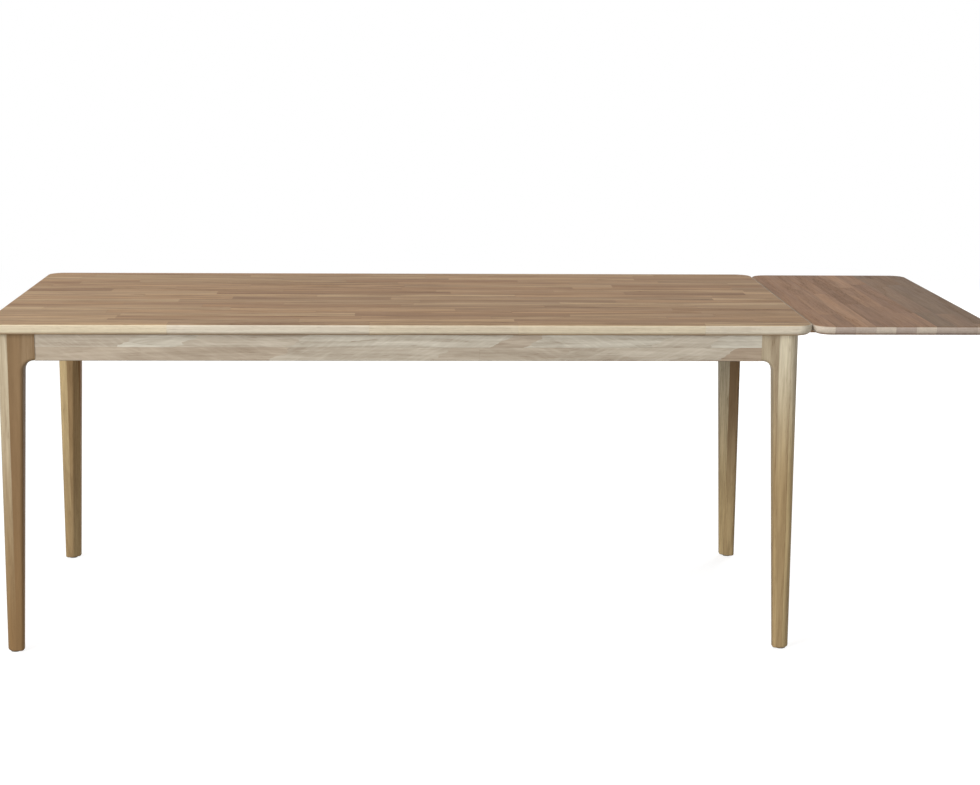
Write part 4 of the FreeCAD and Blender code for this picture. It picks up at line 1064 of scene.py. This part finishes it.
def hang_lamp(context, name, place, aim, size, watts, glare=True):
    """A square soft lamp that points at the table, with or without its glare on shiny faces."""
    data = bpy.data.lights.new(name, "AREA")
    data.shape = "SQUARE"
    data.size = size
    data.energy = watts
    lamp = bpy.data.objects.new(name, data)
    lamp.location = place
    lamp.rotation_euler = (Vector(aim) - Vector(place)).to_track_quat("-Z", "Y").to_euler()
    lamp.visible_glossy = glare
    context.scene.collection.objects.link(lamp)


def place_camera(context, settings):
    """The camera in front of the table."""
    data = bpy.data.cameras.new("camera")
    data.sensor_fit = "HORIZONTAL"
    data.sensor_width = SENSOR_WIDTH
    data.lens = settings.lens
    camera = bpy.data.objects.new("camera", data)
    level = Matrix.Rotation(math.radians(90.0), 4, "X")
    turn = Matrix.Rotation(settings.camera_yaw, 4, "Z") @ Matrix.Rotation(settings.camera_pitch, 4, "X")
    turn = turn @ Matrix.Rotation(settings.camera_roll, 4, "Y") @ level
    camera.matrix_world = Matrix.Translation(settings.camera_spot) @ turn
    context.scene.collection.objects.link(camera)
    context.scene.camera = camera


# Operators


class FinishTop(bpy.types.Operator):
    """Oiled staves along the fixed top"""

    bl_idname = "draw_leaf_table.finish_top"
    bl_label = "Finish Top"

    def execute(self, context):
        finish = context.scene.draw_leaf_table.top
        material = panel_material(
            "top_oak", finish, "XYZ", TOP_LOW, TOP_HIGH, seed=3.0,
            colour_staves=stave_colour, tone_ends=stave_ends)
        dress(material, "table_top")
        return {"FINISHED"}


class FinishLeaf(bpy.types.Operator):
    """Oiled staves across the leaf"""

    bl_idname = "draw_leaf_table.finish_leaf"
    bl_label = "Finish Leaf"

    def execute(self, context):
        finish = context.scene.draw_leaf_table.leaf
        material = panel_material(
            "leaf_oak", finish, "YXZ", LEAF_LOW, LEAF_HIGH, seed=11.0,
            colour_staves=leaf_rows, tone_ends=leaf_ends)
        dress(material, "leaf_panel")
        return {"FINISHED"}


class FinishLegs(bpy.types.Operator):
    """Upright lamellas in the four legs"""

    bl_idname = "draw_leaf_table.finish_legs"
    bl_label = "Finish Legs"

    def execute(self, context):
        finish = context.scene.draw_leaf_table.legs
        for count, corner in enumerate(CORNERS):
            dress(leg_material(corner, finish, LEG_SEED_STEP * count), "leg_" + corner)
        return {"FINISHED"}


class FinishAprons(bpy.types.Operator):
    """Scarfed lamellas in the four aprons"""

    bl_idname = "draw_leaf_table.finish_aprons"
    bl_label = "Finish Aprons"

    def execute(self, context):
        finish = context.scene.draw_leaf_table.aprons
        along = apron_material("apron_oak_long", finish, "X", "Y", seed=5.0)
        across = apron_material("apron_oak_end", finish, "Y", "X", seed=8.0)
        dress(along, "apron_front", "apron_rear")
        dress(across, "apron_left_end", "apron_right_end")
        return {"FINISHED"}


class FinishInnerFrame(bpy.types.Operator):
    """Plain wood of the blocks, rails, guides, bearers, pegs and dowels"""

    bl_idname = "draw_leaf_table.finish_inner_frame"
    bl_label = "Finish Inner Frame"

    def execute(self, context):
        finish = context.scene.draw_leaf_table.inner
        along = inner_material("inner_wood_lengthwise", finish, "XYZ", seed=1.0)
        across = inner_material("inner_wood_crosswise", finish, "YXZ", seed=2.0)
        upright = inner_material("inner_wood_upright", finish, "ZXY", seed=4.0)
        guides = [f"guide_{row}_{side}" for row in ("front", "rear") for side in ("outer", "inner")]
        dress(along, "bearer_front", "bearer_rear", "leaf_dowels", *guides)
        dress(across, "cross_rail_left", "cross_rail_right", *("corner_block_" + name for name in CORNERS))
        dress(upright, "bearer_stop_pegs")
        return {"FINISHED"}


class FinishHardware(bpy.types.Operator):
    """Plated steel and moulded glides"""

    bl_idname = "draw_leaf_table.finish_hardware"
    bl_label = "Finish Hardware"

    def execute(self, context):
        finish = context.scene.draw_leaf_table.hardware
        dress(plated_steel(finish), "leg_bolt_washers", "leg_bolt_nuts", "top_clips", "catch_hook_front",
              "catch_hook_rear", "catch_spacers", "keeper_pins", "glide_nails")
        dress(glide_material("glide_nylon", finish), "foot_glides")
        return {"FINISHED"}


class FitFasteners(bpy.types.Operator):
    """Cross headed screws and threaded bolts"""

    bl_idname = "draw_leaf_table.fit_fasteners"
    bl_label = "Fit Fasteners"

    def execute(self, context):
        table = context.scene.draw_leaf_table
        sizes = table.fasteners
        shared = {"Ridge": sizes.ridge, "Seed": sizes.seed, "Material": plated_steel(table.hardware)}
        screw = {**shared, "Shank Diameter": sizes.screw_shank, "Pitch": sizes.screw_pitch}
        pivot = {**shared, "Shank Diameter": sizes.pivot_shank, "Pitch": sizes.pivot_pitch}
        bolt = {**shared, "Pitch": sizes.bolt_pitch}
        headed = fastener_tree("cross_headed_screws", True)
        plain = fastener_tree("threaded_bolts", False)
        for name, node, body, wood, head, values in (
                ("guide_rail_screws", "guide_screws", "table", TOP_LOW, sizes.screw_head, screw),
                ("clip_screws", "top_clip_screws", "table", TOP_LOW, sizes.screw_head, screw),
                ("leaf_bearer_screws", "bearer_screws", "leaf", LEAF_LOW, sizes.screw_head, screw),
                ("hook_pivot_screws", "catch_pivot_screws", "table", TOP_LOW, sizes.pivot_head, pivot)):
            drive_screws(context, name, node, body, headed, wood, head, values)
        draw_bolts(context, "corner_bolts", "leg_bolts", "table", plain, bolt)
        return {"FINISHED"}


class SetStage(bpy.types.Operator):
    """Pale floor, soft lamps and the camera"""

    bl_idname = "draw_leaf_table.set_stage"
    bl_label = "Set Stage"

    def execute(self, context):
        stage = context.scene.draw_leaf_table.stage
        context.scene.view_settings.view_transform = "Standard"
        lay_floor(context, stage)
        light_world(context, stage)
        aim = stage.aim
        hang_lamp(context, "key_lamp", stage.key_spot, aim, stage.key_size, stage.key_power)
        hang_lamp(context, "fill_lamp", stage.fill_spot, aim, stage.fill_size, stage.fill_power)
        hang_lamp(context, "overhead_lamp", stage.sky_spot, aim, stage.sky_size, stage.sky_power)
        hang_lamp(context, "back_lamp", stage.back_spot, aim, stage.back_size, stage.back_power, glare=False)
        place_camera(context, stage)
        return {"FINISHED"}


# Panel and registration

STEPS = {
    "top": FinishTop,
    "leaf": FinishLeaf,
    "legs": FinishLegs,
    "aprons": FinishAprons,
    "inner": FinishInnerFrame,
    "hardware": FinishHardware,
    "fasteners": FitFasteners,
    "stage": SetStage,
}


class TablePanel(bpy.types.Panel):
    """Steps that dress the table, each with its settings"""

    bl_idname = "DRAW_LEAF_TABLE_PT_steps"
    bl_label = "Draw Leaf Table"
    bl_space_type = "VIEW_3D"
    bl_region_type = "UI"
    bl_category = "Table"

    def draw(self, context):
        for name, step in STEPS.items():
            settings = getattr(context.scene.draw_leaf_table, name)
            box = self.layout.box()
            box.operator(step.bl_idname)
            for setting in type(settings).__annotations__:
                box.prop(settings, setting)


CLASSES = (TopFinish, LeafFinish, LegFinish, ApronFinish, InnerFinish, HardwareFinish, FastenerSizes,
           StageSettings, TableSettings, *STEPS.values(), TablePanel)


def register():
    """Makes the settings, the steps and the panel known."""
    for kind in CLASSES:
        bpy.utils.register_class(kind)
    bpy.types.Scene.draw_leaf_table = part("Draw leaf table", "Settings of the table", TableSettings)


def unregister():
    """Takes the settings, the steps and the panel away again."""
    del bpy.types.Scene.draw_leaf_table
    for kind in reversed(CLASSES):
        bpy.utils.unregister_class(kind)


def main():
    """Runs every step."""
    register()
    bpy.ops.draw_leaf_table.finish_top()
    bpy.ops.draw_leaf_table.finish_leaf()
    bpy.ops.draw_leaf_table.finish_legs()
    bpy.ops.draw_leaf_table.finish_aprons()
    bpy.ops.draw_leaf_table.finish_inner_frame()
    bpy.ops.draw_leaf_table.finish_hardware()
    bpy.ops.draw_leaf_table.fit_fasteners()
    bpy.ops.draw_leaf_table.set_stage()


if __name__ == "__main__":
    main()
